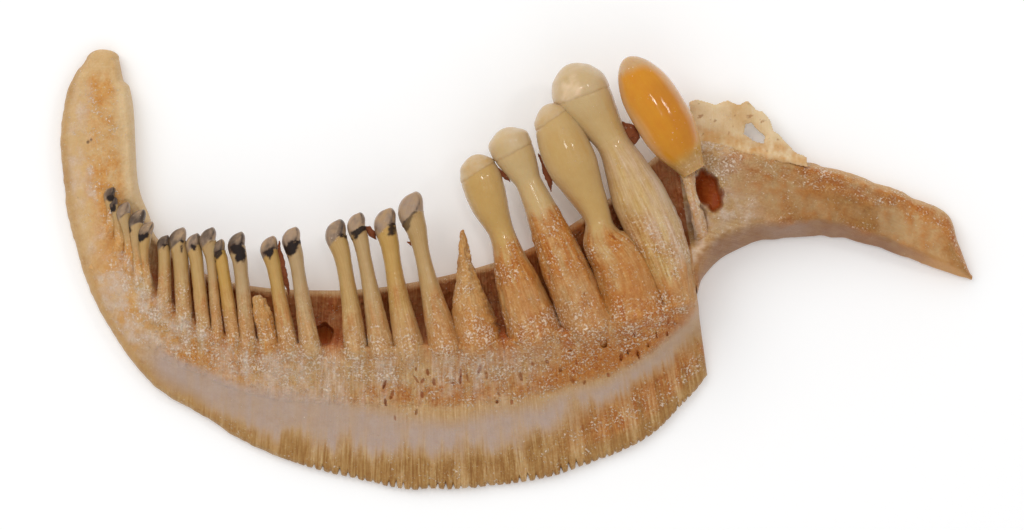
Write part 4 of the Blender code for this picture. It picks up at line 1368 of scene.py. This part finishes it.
def limb_front(rows, places, reach, wide):
    """Heights of the limb's front face, which takes over from the arch's own end."""
    last = arch_grid(np.array([ARCH_END]), "whole")
    last_front = shape_arch(last)[0][0]
    front = []
    for i, share in enumerate(step(places / LIMB_ROOT_BLEND)):
        row = row_at(rows, i)
        ridge = row.ridge_share * wide[i, 0]
        middle = row.upper_height + 0.75 * (row.ridge_height - row.upper_height)
        own = smooth(reach[i], [0, 0.5 * ridge, ridge, wide[i, 0]],
                     [row.upper_height, middle, row.ridge_height, row.lower_height])
        front.append(np.interp(reach[i], last.reach[0], last_front) * (1 - share) + own * share)
    return np.array(front)


def limb_tint(place, part, below, root_patch, crypt, fine, soft):
    """Colour over the limb: tan and orange above its ridge, painted shade in brown and lilac below it, and
    lilac at its root.
    """
    tint = plain(colour_of("tan"), place.shape)
    tint = paint(tint, "orange", clipped(0.5 + 0.45 * soft + 0.35 * fine) * step((place - 1.8) / 1.8))
    tint = paint(tint, "lilac_light", root_patch * clipped(0.4 + 0.6 * fine))
    ochre = band(part, 0.08, 0.4, 0.12) * band(place, 2.6, 6.5, 1.2)
    tint = paint(tint, "orange", ochre * clipped(0.5 + 0.4 * fine + 0.3 * soft))
    tint = paint(tint, "yellow", step((0.1 + 0.03 * fine - part) / 0.07) * 0.65)
    # Painted shade: the lower face below the ridge is laid darker brown, with a lilac cast near its root.
    tint = paint(tint, "amber_brown", below * (0.75 + 0.15 * fine))
    tint = paint(tint, "lilac", below * band(place, 2.2, 4.2, 1.0) * clipped(0.15 + 0.4 * soft))
    tint = paint(tint, "orange_light", below * step((place - 6.2) / 1.0) * 0.8)
    middle = band(part, 0.45, 0.7, 0.15) * step((place - 3.0) / 1.0)
    tint = paint(tint, "margin", middle * clipped(0.25 + 0.6 * soft))
    # Painted shade: darker away from the upper edge near the root, and deep brown in the crypt.
    shaded = step((part - 0.08) / 0.1) * band(place, 1.6, 5.6, 0.8)
    return paint(tint * (1 - 0.2 * shaded)[..., None], colour_of("deep") * 1.3, crypt)


def limb_piece():
    """The ventral limb, from the arch's own end face to the pointed tip."""
    sizes = setting("bone_sizes")
    end = row_at(arch_rows([ARCH_END]), 0)
    down = across(end.rim, end.edge)[0]
    root = LimbSlice(tuple(end.rim), tuple(end.rim + down * LIMB_ROOT_REACH), *LIMB_ROOT)
    slices = [root, *VENTRAL_LIMB]
    places = np.linspace(0, len(slices) - 1, round(LIMB_LENGTH / (LIMB_GRAIN_SHARE * sizes.grain)))
    rows = LimbSlice(*[smooth(places, range(len(slices)), field) for field in zip(*slices)])
    run = np.cumsum(np.gradient(rows.upper[:, 0]))[:, None]
    ragged = 0.09 * step((places - 1.5) / 1.5) * step((9.6 - places) / 1.0)
    rows.upper[:, 1] += ragged * layered(run, 1.3, 107)
    rows.lower[:, 1] += ragged * layered(run, 1.6, 108)
    direction, wide = across(rows.upper, rows.lower)
    reach = np.array([spread(0, w, LIMB_POINTS) for w in wide[:, 0]])
    points = rows.upper[:, None] + reach[..., None] * direction[:, None]
    place = np.repeat(places[:, None], LIMB_POINTS, axis=1)
    part = reach / wide
    flow = np.stack([reach, place * LIMB_SLICE_GAP], axis=-1)
    fine = layered(points, 0.5, 101)
    soft = layered(points, 2.2, 103)
    streak = layered(flow, (0.3, 3.5), 105)
    crypt = hollow_mask(points, CRYPT)
    # The lower face below the ridge, where painted shade is laid.
    below = step((part - rows.ridge_share[:, None] - 0.03 * fine - 0.04 * soft) / 0.1)
    root_patch = step((3.4 - place + 0.5 * soft) / 1.5)
    tint = limb_tint(place, part, below, root_patch, crypt, fine, soft)
    front = limb_front(rows, places, reach, wide) - CRYPT[-1] * crypt
    front = front + 0.06 * fine + 0.06 * soft + 0.3 * sizes.fibre_relief * streak
    back = back_height(reach, wide, 0.3)
    upper_round = RIM_ROUND - 0.32 * band(place, 1.0, 3.4, 0.6)
    amount = rounding(reach, upper_round) * rounding(wide - reach, RIM_ROUND)
    front, back = rounded(np.maximum(front, back + LEAST_THICK), back, amount)
    specks = 0.3 + 0.25 * root_patch + 0.4 * band(part, 0.06, 0.3, 0.12) + 0.2 * soft - 0.3 * below
    specks = clipped(specks) * (1 - 0.7 * crypt)
    detail = np.stack([specks, 0.15 + 0.25 * root_patch, 0.3 + 0 * place], axis=-1)
    return sheet_piece("ventral_limb_skin", lifted(points, front), lifted(points, back), flow, tint, detail,
                       bone_material())


def inside_outline(points, outline):
    """True for the points inside a closed outline."""
    x, y = points[..., 0], points[..., 1]
    found = np.zeros(x.shape, bool)
    for (ax, ay), (bx, by) in zip(outline, outline[1:] + outline[:1]):
        crosses = (ay > y) != (by > y)
        with np.errstate(divide="ignore", invalid="ignore"):
            found ^= crosses & (x < (bx - ax) * (y - ay) / (by - ay) + ax)
    return found


def edge_distance(points, outline):
    """Distance of each point from a closed outline."""
    best = np.full(points.shape[:-1], 1e9)
    for a, b in zip(outline, outline[1:] + outline[:1]):
        a, b = np.array(a), np.array(b)
        span = b - a
        share = clipped(((points - a) @ span) / (span @ span))
        best = np.minimum(best, np.linalg.norm(points - (a + share[..., None] * span), axis=-1))
    return best


def crest_faces(solid):
    """Faces of a sheet over the solid part of a grid: its top, its underside and its sides."""
    cell = solid[:-1, :-1] & solid[1:, :-1] & solid[1:, 1:] & solid[:-1, 1:]
    for _ in range(3):
        a, b, c, d = cell[:-1, :-1], cell[1:, :-1], cell[:-1, 1:], cell[1:, 1:]
        b |= a & d & ~b & ~c
        a |= b & c & ~a & ~d
    index = np.arange(solid.size).reshape(solid.shape)
    quads = np.stack([index[:-1, :-1], index[1:, :-1], index[1:, 1:], index[:-1, 1:]], axis=-1)[cell].tolist()
    sides = {}
    for quad in quads:
        for a, b in zip(quad, quad[1:] + quad[:1]):
            if (b, a) in sides:
                del sides[(b, a)]
            else:
                sides[(a, b)] = True
    faces = quads + [[i + solid.size for i in quad[::-1]] for quad in quads]
    return faces + [[b, a, a + solid.size, b + solid.size] for a, b in sides]


def crest_piece():
    """The thin wavy crest, cut out of a fine grid by its outline and its window."""
    outline = CREST_TOP + CREST_FOOT[::-1]
    (left, low), (right, high) = CREST_BOX
    grid = np.stack(np.meshgrid(np.arange(left, right, CREST_GRAIN), np.arange(low, high, CREST_GRAIN),
                                indexing="ij"), axis=-1)
    ragged = grid + 0.06 * np.stack([noise(grid, 0.5, 111), noise(grid, 0.5, 112)], axis=-1)
    solid = inside_outline(ragged, outline) & ~inside_outline(ragged, CREST_WINDOW)
    faces = crest_faces(solid)
    from_edge = np.minimum(edge_distance(ragged, outline), edge_distance(ragged, CREST_WINDOW))
    thick = CREST_THICK * (0.25 + 0.75 * np.sqrt(clipped(from_edge / 0.35)))
    limb_edge = np.interp(grid[..., 0], *zip(*LIMB_EDGE))
    height = CREST_HEIGHT + 0.08 * layered(grid, 1.2, 113, 2) + 0.95 * step(limb_edge + 0.7 - grid[..., 1])
    sheets = [lifted(grid, height + side * thick / 2).reshape(-1, 3) for side in (1, -1)]
    used = sorted({i for face in faces for i in face})
    number = {old: new for new, old in enumerate(used)}
    faces = [[number[i] for i in face] for face in faces]
    points = np.concatenate(sheets)[used]
    flat = points[:, :2]
    fine = layered(flat, 0.4, 115)
    soft = layered(flat, 1.4, 117)
    tint = plain(colour_of("crest"), soft.shape)
    tint = paint(tint, "yellow", clipped(0.3 + 0.6 * soft))
    foot_band = step((9.5 - flat[:, 1] - 0.2 * (flat[:, 0] - 14)) / 0.5)
    tint = paint(tint, "orange_light", foot_band * clipped(0.4 + 0.4 * fine))
    spots = step((layered(flat, 0.3, 119) - 1.0) / 0.2)
    tint = paint(tint, "amber_brown", spots * 0.6)
    detail = plain((0.2, 0.2, 0.4), soft.shape)
    return mesh_piece("ventral_crest_skin", points, faces, tint, detail, flat, bone_material())


def geometry_group(name, inputs):
    """A new Geometry Nodes tree that takes a surface or a path and named values."""
    body = ("Geometry", "Geometry")
    return group_with(name, "GeometryNodeTree", [body, *inputs], [body])


def enabled(sockets, name=""):
    """The socket in use among those that share a name, or the first in use."""
    return next(s for s in sockets if s.enabled and name in ("", s.name))


def ended(tree, geometry, material, end):
    """Ends a tree with Realize Instances and Set Material."""
    real = node(tree, "GeometryNodeRealizeInstances", {"Geometry": geometry}).outputs["Geometry"]
    done = node(tree, "GeometryNodeSetMaterial", {"Geometry": real, "Material": material})
    feed(tree, end["Geometry"], done.outputs["Geometry"])


def stored(tree, geometry, name, colour):
    """Geometry with one colour kept on its points under a name."""
    made = node(tree, "GeometryNodeStoreNamedAttribute", {"Geometry": geometry, "Name": name},
                data_type="FLOAT_COLOR", domain="POINT")
    enabled(made.inputs, "Value").default_value = (*colour, 1)
    return made.outputs["Geometry"]


def crumb_tree():
    """Crumbs scattered over the upper side of a surface, most where its grain is coarse."""
    found = bpy.data.node_groups.get("bone crumbs")
    if found:
        return found
    tree, start, end = geometry_group("bone crumbs", [("Size", "Float"), ("Density", "Float"),
                                                      ("Seed", "Int")])
    coarse = node(tree, "GeometryNodeInputNamedAttribute", {"Name": "detail"}, data_type="FLOAT_COLOR")
    specks = node(tree, "FunctionNodeSeparateColor", {"Color": coarse.outputs["Attribute"]}).outputs["Red"]
    facing = node(tree, "ShaderNodeSeparateXYZ", {0: node(tree, "GeometryNodeInputNormal").outputs[0]})
    upward = maths(tree, "GREATER_THAN", facing.outputs["Z"], 0.35)
    share = maths(tree, "MULTIPLY", maths(tree, "POWER", specks, 2.0), upward)
    spots = node(tree, "GeometryNodeDistributePointsOnFaces",
                 {"Mesh": start["Geometry"], "Density": maths(tree, "MULTIPLY", share, start["Density"]),
                  "Seed": start["Seed"]})
    points = stored(tree, spots.outputs["Points"], "detail", (0.95, 0.2, 0.35))
    size = node(tree, "FunctionNodeRandomValue", {"Seed": start["Seed"]}, data_type="FLOAT")
    turn = node(tree, "FunctionNodeRandomValue", {"Seed": start["Seed"]}, data_type="FLOAT_VECTOR")
    for chance, limit, value in ((size, "Min", 0.45), (size, "Max", 1.3), (turn, "Max", (6.3, 6.3, 6.3))):
        enabled(chance.inputs, limit).default_value = value
    crumb = node(tree, "GeometryNodeMeshIcoSphere", {"Radius": start["Size"], "Subdivisions": 2})
    squashed = node(tree, "GeometryNodeTransform", {"Geometry": crumb.outputs["Mesh"],
                                                    "Scale": (1.0, 0.75, 0.6)})
    crumbs = node(tree, "GeometryNodeInstanceOnPoints",
                  {"Points": points, "Instance": squashed.outputs["Geometry"], "Scale": enabled(size.outputs),
                   "Rotation": enabled(turn.outputs)})
    ended(tree, crumbs.outputs["Instances"], bone_material(), end)
    return tree


def shred_tree():
    """A ragged flat shred along a path."""
    found = bpy.data.node_groups.get("tissue shred")
    if found:
        return found
    tree, start, end = geometry_group("tissue shred", [("Width", "Float"), ("Flatness", "Float"),
                                                       ("Roughness", "Float"), ("Seed", "Int")])
    path = node(tree, "GeometryNodeSubdivideCurve", {"Curve": start["Geometry"], "Cuts": 14}).outputs["Curve"]
    share = node(tree, "GeometryNodeSplineParameter").outputs["Factor"]
    arc = maths(tree, "SINE", maths(tree, "MULTIPLY", share, math.pi), 0.0)
    swell = maths(tree, "ADD", maths(tree, "MULTIPLY", arc, 0.42), 0.08)
    width = maths(tree, "MULTIPLY", swell, start["Width"])
    thick = node(tree, "GeometryNodeSetCurveRadius", {"Curve": path, "Radius": width}).outputs["Curve"]
    circle = node(tree, "GeometryNodeCurvePrimitiveCircle", {"Resolution": 16, "Radius": 1.0})
    flat = node(tree, "ShaderNodeCombineXYZ", {"X": 1.0, "Y": start["Flatness"], "Z": 1.0}).outputs[0]
    oval = node(tree, "GeometryNodeTransform", {"Geometry": circle.outputs["Curve"], "Scale": flat})
    shred = node(tree, "GeometryNodeCurveToMesh", {"Curve": thick, "Profile Curve": oval.outputs["Geometry"],
                                                   "Scale": width, "Fill Caps": True}).outputs["Mesh"]
    place = node(tree, "GeometryNodeInputPosition").outputs[0]
    shift = node(tree, "ShaderNodeTexNoise", {"Vector": place, "W": start["Seed"], "Scale": 2.2 / MM,
                                              "Detail": 3.0}, noise_dimensions="4D").outputs["Color"]
    centred = node(tree, "ShaderNodeVectorMath", {0: shift, 1: (0.5, 0.5, 0.5)}, operation="SUBTRACT")
    moved = node(tree, "ShaderNodeVectorMath", {0: centred.outputs[0]}, operation="SCALE")
    feed(tree, moved.inputs["Scale"], start["Roughness"])
    rough = node(tree, "GeometryNodeSetPosition", {"Geometry": shred, "Offset": moved.outputs[0]})
    tinted = stored(tree, rough.outputs["Geometry"], "tint", colour_of("tissue"))
    ended(tree, stored(tree, tinted, "detail", (0.15, 0.6, 0.6)), tissue_material(), end)
    return tree


def from_nodes(name, data, tree, values):
    """A plain mesh piece made by a node tree from a mesh or a curve."""
    guide = link(bpy.data.objects.new(name + " guide", data))
    modifier = guide.modifiers.new("nodes", "NODES")
    modifier.node_group = tree
    sockets = {item.name: item.identifier for item in tree.interface.items_tree if item.in_out == "INPUT"}
    for label, value in values.items():
        modifier[sockets[label]] = value
    graph = bpy.context.evaluated_depsgraph_get()
    mesh = bpy.data.meshes.new_from_object(guide.evaluated_get(graph), depsgraph=graph)
    guide.modifiers.remove(modifier)
    bpy.data.objects.remove(guide)
    mesh.name = name
    if "flow" not in mesh.uv_layers:
        mesh.uv_layers.new(name="flow")
    mesh.shade_smooth()
    return link(bpy.data.objects.new(name, mesh))


FLOOR_HALF = 3.0  # metres
FLOOR_LOOK = {"Base Color": (0.95, 0.95, 0.95, 1), "Roughness": 0.9, "Specular IOR Level": 0.1,
              "Emission Color": (1, 1, 1, 1), "Emission Strength": 0.075}
LIGHT_DISTANCE = 0.4
FILL_SHARE = 0.24  # of the key light's power
SENSOR_WIDTH = 36
CAMERA_AIM = (-0.3, 0.4, 3.0)  # the point below the camera, at about the height of the teeth


def add_light(name, direction, size, power):
    """A square soft light at a distance from the bone, turned towards it."""
    data = bpy.data.lights.new(name, "AREA")
    data.size = size
    data.energy = power
    made = link(bpy.data.objects.new(name, data))
    place = Vector(direction).normalized() * LIGHT_DISTANCE
    made.location = place
    made.rotation_euler = (-place).to_track_quat("-Z", "Y").to_euler()
    return made


def amount(name, description, default, low=0.0, high=1.0):
    return FloatProperty(name=name, description=description, default=default, min=low, max=high)


class BoneSizes(bpy.types.PropertyGroup):
    """Sizes of the bone's own surface, in millimetres."""

    grain: amount("Grain", "Spacing of the points that shape the bone, in mm", 0.058, 0.04, 0.5)
    serration_pitch: amount("Serration pitch", "From notch to notch on the edge, in mm", 0.56, 0.2, 2.0)
    serration_depth: amount("Serration depth", "Depth of a notch, in mm", 0.34)
    gap_depth: amount("Gap depth", "How deep the lip is cut between the teeth, in mm", 0.55, 0.0, 1.5)
    fibre_relief: amount("Fibre relief", "Height of the bone's fibres, in mm", 0.05, 0.0, 0.3)
    grain_relief: amount("Grain relief", "Height of the crumbly grain, in mm", 0.07, 0.0, 0.3)
    flute_relief: amount("Flute relief", "Height of the wing's flutes, in mm", 0.05, 0.0, 0.3)
    pits: IntProperty(name="Pits", description="Number of small pits in the bed", default=40, min=0, max=400)
    pit_seed: IntProperty(name="Pit seed", description="Seed for the places of the pits", default=8)


class ToothSizes(bpy.types.PropertyGroup):
    """Sizes that all teeth share."""

    facet_length: amount("Facet length", "Length of a worn facet, in crown widths", 0.85, 0.1, 2.0)
    facet_slope: amount("Facet slope", "How far the facet's border slants", 0.55, -1.0)
    facet_drop: amount("Facet drop", "How steeply the facet falls to the tip", 0.7, 0.0, 2.0)
    root_relief: amount("Root relief", "Height of the fibres on the roots, in mm", 0.045, 0.0, 0.3)


class CrumbSizes(bpy.types.PropertyGroup):
    """Crumbs of pale bone on the beds."""

    size: amount("Size", "Radius of a crumb, in mm", 0.075, 0.01, 0.4)
    density: amount("Density", "Crumbs on a square millimetre", 9.0, 0.0, 100.0)
    seed: IntProperty(name="Seed", description="Seed for the places of the crumbs", default=4)


class TissueSizes(bpy.types.PropertyGroup):
    """Shreds of dried tissue."""

    flatness: amount("Flatness", "Thickness of a shred over its width", 0.45, 0.05)
    roughness: amount("Roughness", "How far its surface strays, in mm", 0.4, 0.0, 2.0)


def shade(name, description, red, green, blue):
    return FloatVectorProperty(name=name, description=description, subtype="COLOR", size=3, min=0, max=1,
                               default=linear((red, green, blue)))


class ArchColours(bpy.types.PropertyGroup):
    """Colours of bone, teeth and tissue, and of the painted shade and sheen on them."""

    tan: shade("Tan", "Plain bone", 190, 150, 100)
    tan_yellow: shade("Tan yellow", "Outer edge at the bend", 176, 134, 80)
    yellow: shade("Yellow", "Dorsal limb", 204, 167, 116)
    orange: shade("Orange", "Mottling", 180, 112, 40)
    orange_light: shade("Light orange", "Mottling of the dorsal limb", 200, 144, 76)
    rust: shade("Rust", "Wing beside the molars", 176, 106, 40)
    margin: shade("Margin", "Serrated margin", 158, 114, 56)
    lilac: shade("Lilac", "Smooth pale band of the wing", 180, 155, 139)
    lilac_light: shade("Light lilac", "Pale rough patches", 204, 176, 150)
    # Pale specks: partly crumbs of pale bone, partly painted glints.
    speck: shade("Speck", "Crumbs of pale bone", 230, 210, 190)
    # Painted shade on the shelf behind the teeth and on the undersides of the teeth.
    hollow: shade("Hollow", "Bone behind the teeth", 158, 84, 34)
    # Painted shade in pits, grooves, gaps, slits and the crypt, and deepest on the shelf near the lip.
    deep: shade("Deep", "Pits and grooves", 164, 80, 26)
    cream: shade("Cream", "Pale stems", 177, 148, 107)
    ivory: shade("Ivory", "Pale molars", 200, 174, 128)
    honey: shade("Honey", "Warm stems", 188, 146, 72)
    # Painted shade on the stems' right sides, the molars' left sides and the limb's lower face; also the
    # crest's brown spots and the line round the molars' caps.
    amber_brown: shade("Amber brown", "Shaded sides of the stems", 152, 96, 40)
    # Also the painted sheen along the molars' sides.
    cap: shade("Cap", "Worn caps of the molars", 202, 176, 142)
    facet: shade("Facet", "Worn facets of the slender teeth", 160, 134, 112)
    facet_dark: shade("Dark facet", "Mottling of the facets", 84, 66, 52)
    stain: shade("Stain", "Black stain under the facets", 28, 12, 5)
    stain_brown: shade("Brown stain", "Soft border of the black stain", 84, 50, 28)
    amber: shade("Amber", "Youngest molar", 206, 136, 10)
    amber_deep: shade("Deep amber", "Its middle", 192, 116, 4)
    # Painted sheen along the sides of the youngest molar.
    amber_rim: shade("Amber rim", "Its pale rim", 206, 160, 112)
    amber_tip: shade("Amber tip", "Its pale tip", 192, 160, 118)
    crest: shade("Crest", "Thin crest", 222, 196, 154)
    tissue: shade("Tissue", "Dried tissue", 132, 66, 28)


class StudioSizes(bpy.types.PropertyGroup):
    """Camera and light."""

    view_width: FloatProperty(name="View width", description="Width of the picture at the bone",
                              default=68.27 * MM, unit="LENGTH")
    camera_height: FloatProperty(name="Camera height", description="Above the bone",
                                 default=0.4, unit="LENGTH")
    room_light: amount("Room light", "Strength of the even light", 0.6, 0.0, 10.0)
    key_power: amount("Key light", "Power of the large soft light, in watts", 0.61, 0.0, 10.0)
    strip_power: amount("Strip lights", "Power of the lights for the gloss, in watts", 0.07, 0.0, 10.0)


class ARCH_OT_dorsal_limb(bpy.types.Operator):
    """Make the dorsal limb and the bend"""

    bl_idname = "arch.dorsal_limb"
    bl_label = "Dorsal limb"

    def execute(self, context):
        stations = stations_between(0.0, DORSAL_CUT, 1.25 * setting("bone_sizes").grain)
        keep(arch_piece("dorsal_limb_skin", stations, "whole"), "limb_bone", "dorsal_limb")
        return {"FINISHED"}


class ARCH_OT_beds(bpy.types.Operator):
    """Make the two tooth beds"""

    bl_idname = "arch.beds"
    bl_label = "Tooth beds"

    def execute(self, context):
        keep(arch_piece("comb_bed_skin", comb_stations(), "bed"), "bed_bone", "comb_bed")
        keep(arch_piece("molar_bed_skin", molar_stations(), "bed"), "bed_bone", "molar_bed")
        return {"FINISHED"}


class ARCH_OT_wing(bpy.types.Operator):
    """Make the fluted wing with its serrated edge"""

    bl_idname = "arch.wing"
    bl_label = "Lateral wing"

    def execute(self, context):
        stations = np.concatenate([comb_stations(), molar_stations()[1:]])
        keep(arch_piece("lateral_wing_skin", stations, "wing"), "wing_bone", "lateral_wing")
        return {"FINISHED"}


class ARCH_OT_ventral_limb(bpy.types.Operator):
    """Make the pointed ventral limb and its thin crest"""

    bl_idname = "arch.ventral_limb"
    bl_label = "Ventral limb"

    def execute(self, context):
        keep(limb_piece(), "limb_bone", "ventral_limb")
        keep(crest_piece(), "limb_bone", "ventral_crest")
        return {"FINISHED"}


class ARCH_OT_slender_teeth(bpy.types.Operator):
    """Make the slender teeth of the comb, worn and stained at their crowns"""

    bl_idname = "arch.slender_teeth"
    bl_label = "Slender teeth"

    def execute(self, context):
        made = [(tooth, slender_tooth(i, tooth)) for i, tooth in enumerate(SLENDER_TEETH)]
        dorsal = [tube for tooth, tube in made if tooth.station < DORSAL_CUT]
        comb = [tube for tooth, tube in made if tooth.station > DORSAL_CUT]
        comb.append(slender_tooth(40, BROKEN_TEETH[0]))
        keep(tube_piece("dorsal_teeth", dorsal, tooth_material()), "limb_bone", "dorsal_limb")
        keep(tube_piece("comb_teeth", comb, tooth_material()), "bed_bone", "comb_bed")
        return {"FINISHED"}


class ARCH_OT_molars(bpy.types.Operator):
    """Make the four molars and the broken tooth beside them"""

    bl_idname = "arch.molars"
    bl_label = "Molars"

    def execute(self, context):
        tubes = [molar_tooth(i, tooth) for i, tooth in enumerate(MOLARS)]
        tubes.append(slender_tooth(41, BROKEN_TEETH[1]))
        keep(tube_piece("molar_teeth", tubes, tooth_material()), "bed_bone", "molar_bed")
        return {"FINISHED"}


class ARCH_OT_young_molar(bpy.types.Operator):
    """Make the amber youngest molar and its strut"""

    bl_idname = "arch.young_molar"
    bl_label = "Youngest molar"

    def execute(self, context):
        for name, tube, material in (("young_molar", young_molar(), amber_material()),
                                     ("young_molar_strut", strut_tube(), bone_material())):
            keep(tube_piece(name, [tube], material), "limb_bone", "ventral_limb")
        return {"FINISHED"}


class ARCH_OT_crumbs(bpy.types.Operator):
    """Scatter crumbs of pale bone over the two tooth beds"""

    bl_idname = "arch.crumbs"
    bl_label = "Bone crumbs"

    def execute(self, context):
        sizes = setting("crumb_sizes")
        for seed, node_name in enumerate(("comb_bed", "molar_bed")):
            values = {"Size": sizes.size * MM, "Density": sizes.density / MM**2, "Seed": sizes.seed + seed}
            surface = bpy.data.objects[node_name + "_skin"]
            keep(from_nodes(node_name + "_crumbs", surface.data, crumb_tree(), values), "bed_bone", node_name)
        return {"FINISHED"}


class ARCH_OT_tissue(bpy.types.Operator):
    """Hang shreds of dried tissue between the teeth"""

    bl_idname = "arch.tissue"
    bl_label = "Dried tissue"

    def execute(self, context):
        sizes = setting("tissue_sizes")
        for i, (*path, width) in enumerate(TISSUE):
            line = bpy.data.curves.new("shred path", "CURVE")
            line.dimensions = "3D"
            spline = line.splines.new("POLY")
            spline.points.add(len(path) - 1)
            for point, place in zip(spline.points, path):
                point.co = (*(np.array(place) * MM), 1)
            values = {"Width": width * MM, "Flatness": sizes.flatness, "Roughness": sizes.roughness * MM,
                      "Seed": 3 * i}
            bed = "molar_bed" if path[0][0] > -5 else "comb_bed"
            keep(from_nodes(f"tissue_shred_{i + 1}", line, shred_tree(), values), "bed_bone", bed)
        return {"FINISHED"}


class ARCH_OT_stage(bpy.types.Operator):
    """Make the floor, the lights and the camera"""

    bl_idname = "arch.stage"
    bl_label = "Stage"

    def execute(self, context):
        studio = setting("studio_sizes")
        scene = context.scene
        mesh = bpy.data.meshes.new("floor")
        corners = [(x * FLOOR_HALF, y * FLOOR_HALF, 0) for x, y in ((-1, -1), (1, -1), (1, 1), (-1, 1))]
        mesh.from_pydata(corners, [], [(0, 1, 2, 3)])
        paper = bpy.data.materials.new("white paper")
        paper.use_nodes = True
        for label, value in FLOOR_LOOK.items():
            paper.node_tree.nodes["Principled BSDF"].inputs[label].default_value = value
        mesh.materials.append(paper)
        link(bpy.data.objects.new("floor", mesh))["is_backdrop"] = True
        world = bpy.data.worlds.new("room")
        world.use_nodes = True
        air = world.node_tree.nodes["Background"]
        air.inputs["Color"].default_value = (1, 1, 1, 1)
        air.inputs["Strength"].default_value = studio.room_light
        scene.world = world
        add_light("key", (-0.45, 0.5, 0.75), 0.3, studio.key_power).visible_glossy = False
        add_light("fill", (0.1, -0.6, 0.75), 0.3, FILL_SHARE * studio.key_power).visible_glossy = False
        add_light("left strip", (0.06, 0.16, 0.97), 0.045, 1.5 * studio.strip_power)
        add_light("right strip", (0.52, 0.3, 0.8), 0.04, studio.strip_power)
        data = bpy.data.cameras.new("camera")
        data.sensor_width = SENSOR_WIDTH
        data.lens = SENSOR_WIDTH * studio.camera_height / studio.view_width
        data.clip_start = 0.01
        camera = link(bpy.data.objects.new("camera", data))
        x, y, z = CAMERA_AIM
        camera.location = (x * MM, y * MM, studio.camera_height + z * MM)
        scene.camera = camera
        scene.view_settings.view_transform = "Standard"
        return {"FINISHED"}


class ARCH_PT_pieces(bpy.types.Panel):
    """Lists the pieces of the arch with their sizes and colours"""

    bl_label = "Tooth arch"
    bl_idname = "ARCH_PT_pieces"
    bl_space_type = "VIEW_3D"
    bl_region_type = "UI"
    bl_category = "Arch"

    def draw(self, context):
        column = self.layout.column()
        for piece in PIECES:
            column.operator(piece.bl_idname)
        for label in GROUPS:
            group = getattr(context.scene, label)
            box = column.box()
            for name in group.__annotations__:
                box.prop(group, name)


PIECES = (
    ARCH_OT_dorsal_limb, ARCH_OT_beds, ARCH_OT_wing, ARCH_OT_ventral_limb, ARCH_OT_slender_teeth,
    ARCH_OT_molars, ARCH_OT_young_molar, ARCH_OT_crumbs, ARCH_OT_tissue, ARCH_OT_stage,
)
GROUPS = {
    "bone_sizes": BoneSizes,
    "tooth_sizes": ToothSizes,
    "crumb_sizes": CrumbSizes,
    "tissue_sizes": TissueSizes,
    "arch_colours": ArchColours,
    "studio_sizes": StudioSizes,
}


def register():
    for kind in (*GROUPS.values(), *PIECES, ARCH_PT_pieces):
        bpy.utils.register_class(kind)
    for label, kind in GROUPS.items():
        setattr(bpy.types.Scene, label, PointerProperty(type=kind))


def unregister():
    for label in GROUPS:
        delattr(bpy.types.Scene, label)
    for kind in (ARCH_PT_pieces, *PIECES, *GROUPS.values()):
        bpy.utils.unregister_class(kind)


def main():
    register()
    bpy.ops.arch.dorsal_limb()
    bpy.ops.arch.beds()
    bpy.ops.arch.wing()
    bpy.ops.arch.ventral_limb()
    bpy.ops.arch.slender_teeth()
    bpy.ops.arch.molars()
    bpy.ops.arch.young_molar()
    bpy.ops.arch.crumbs()
    bpy.ops.arch.tissue()
    bpy.ops.arch.stage()
    boxes = {"cad": CAD_BOX, "visual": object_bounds()}
    plain = {name: [[float(v) for v in corner] for corner in box] for name, box in boxes.items()}


if __name__ == "__main__":
    main()
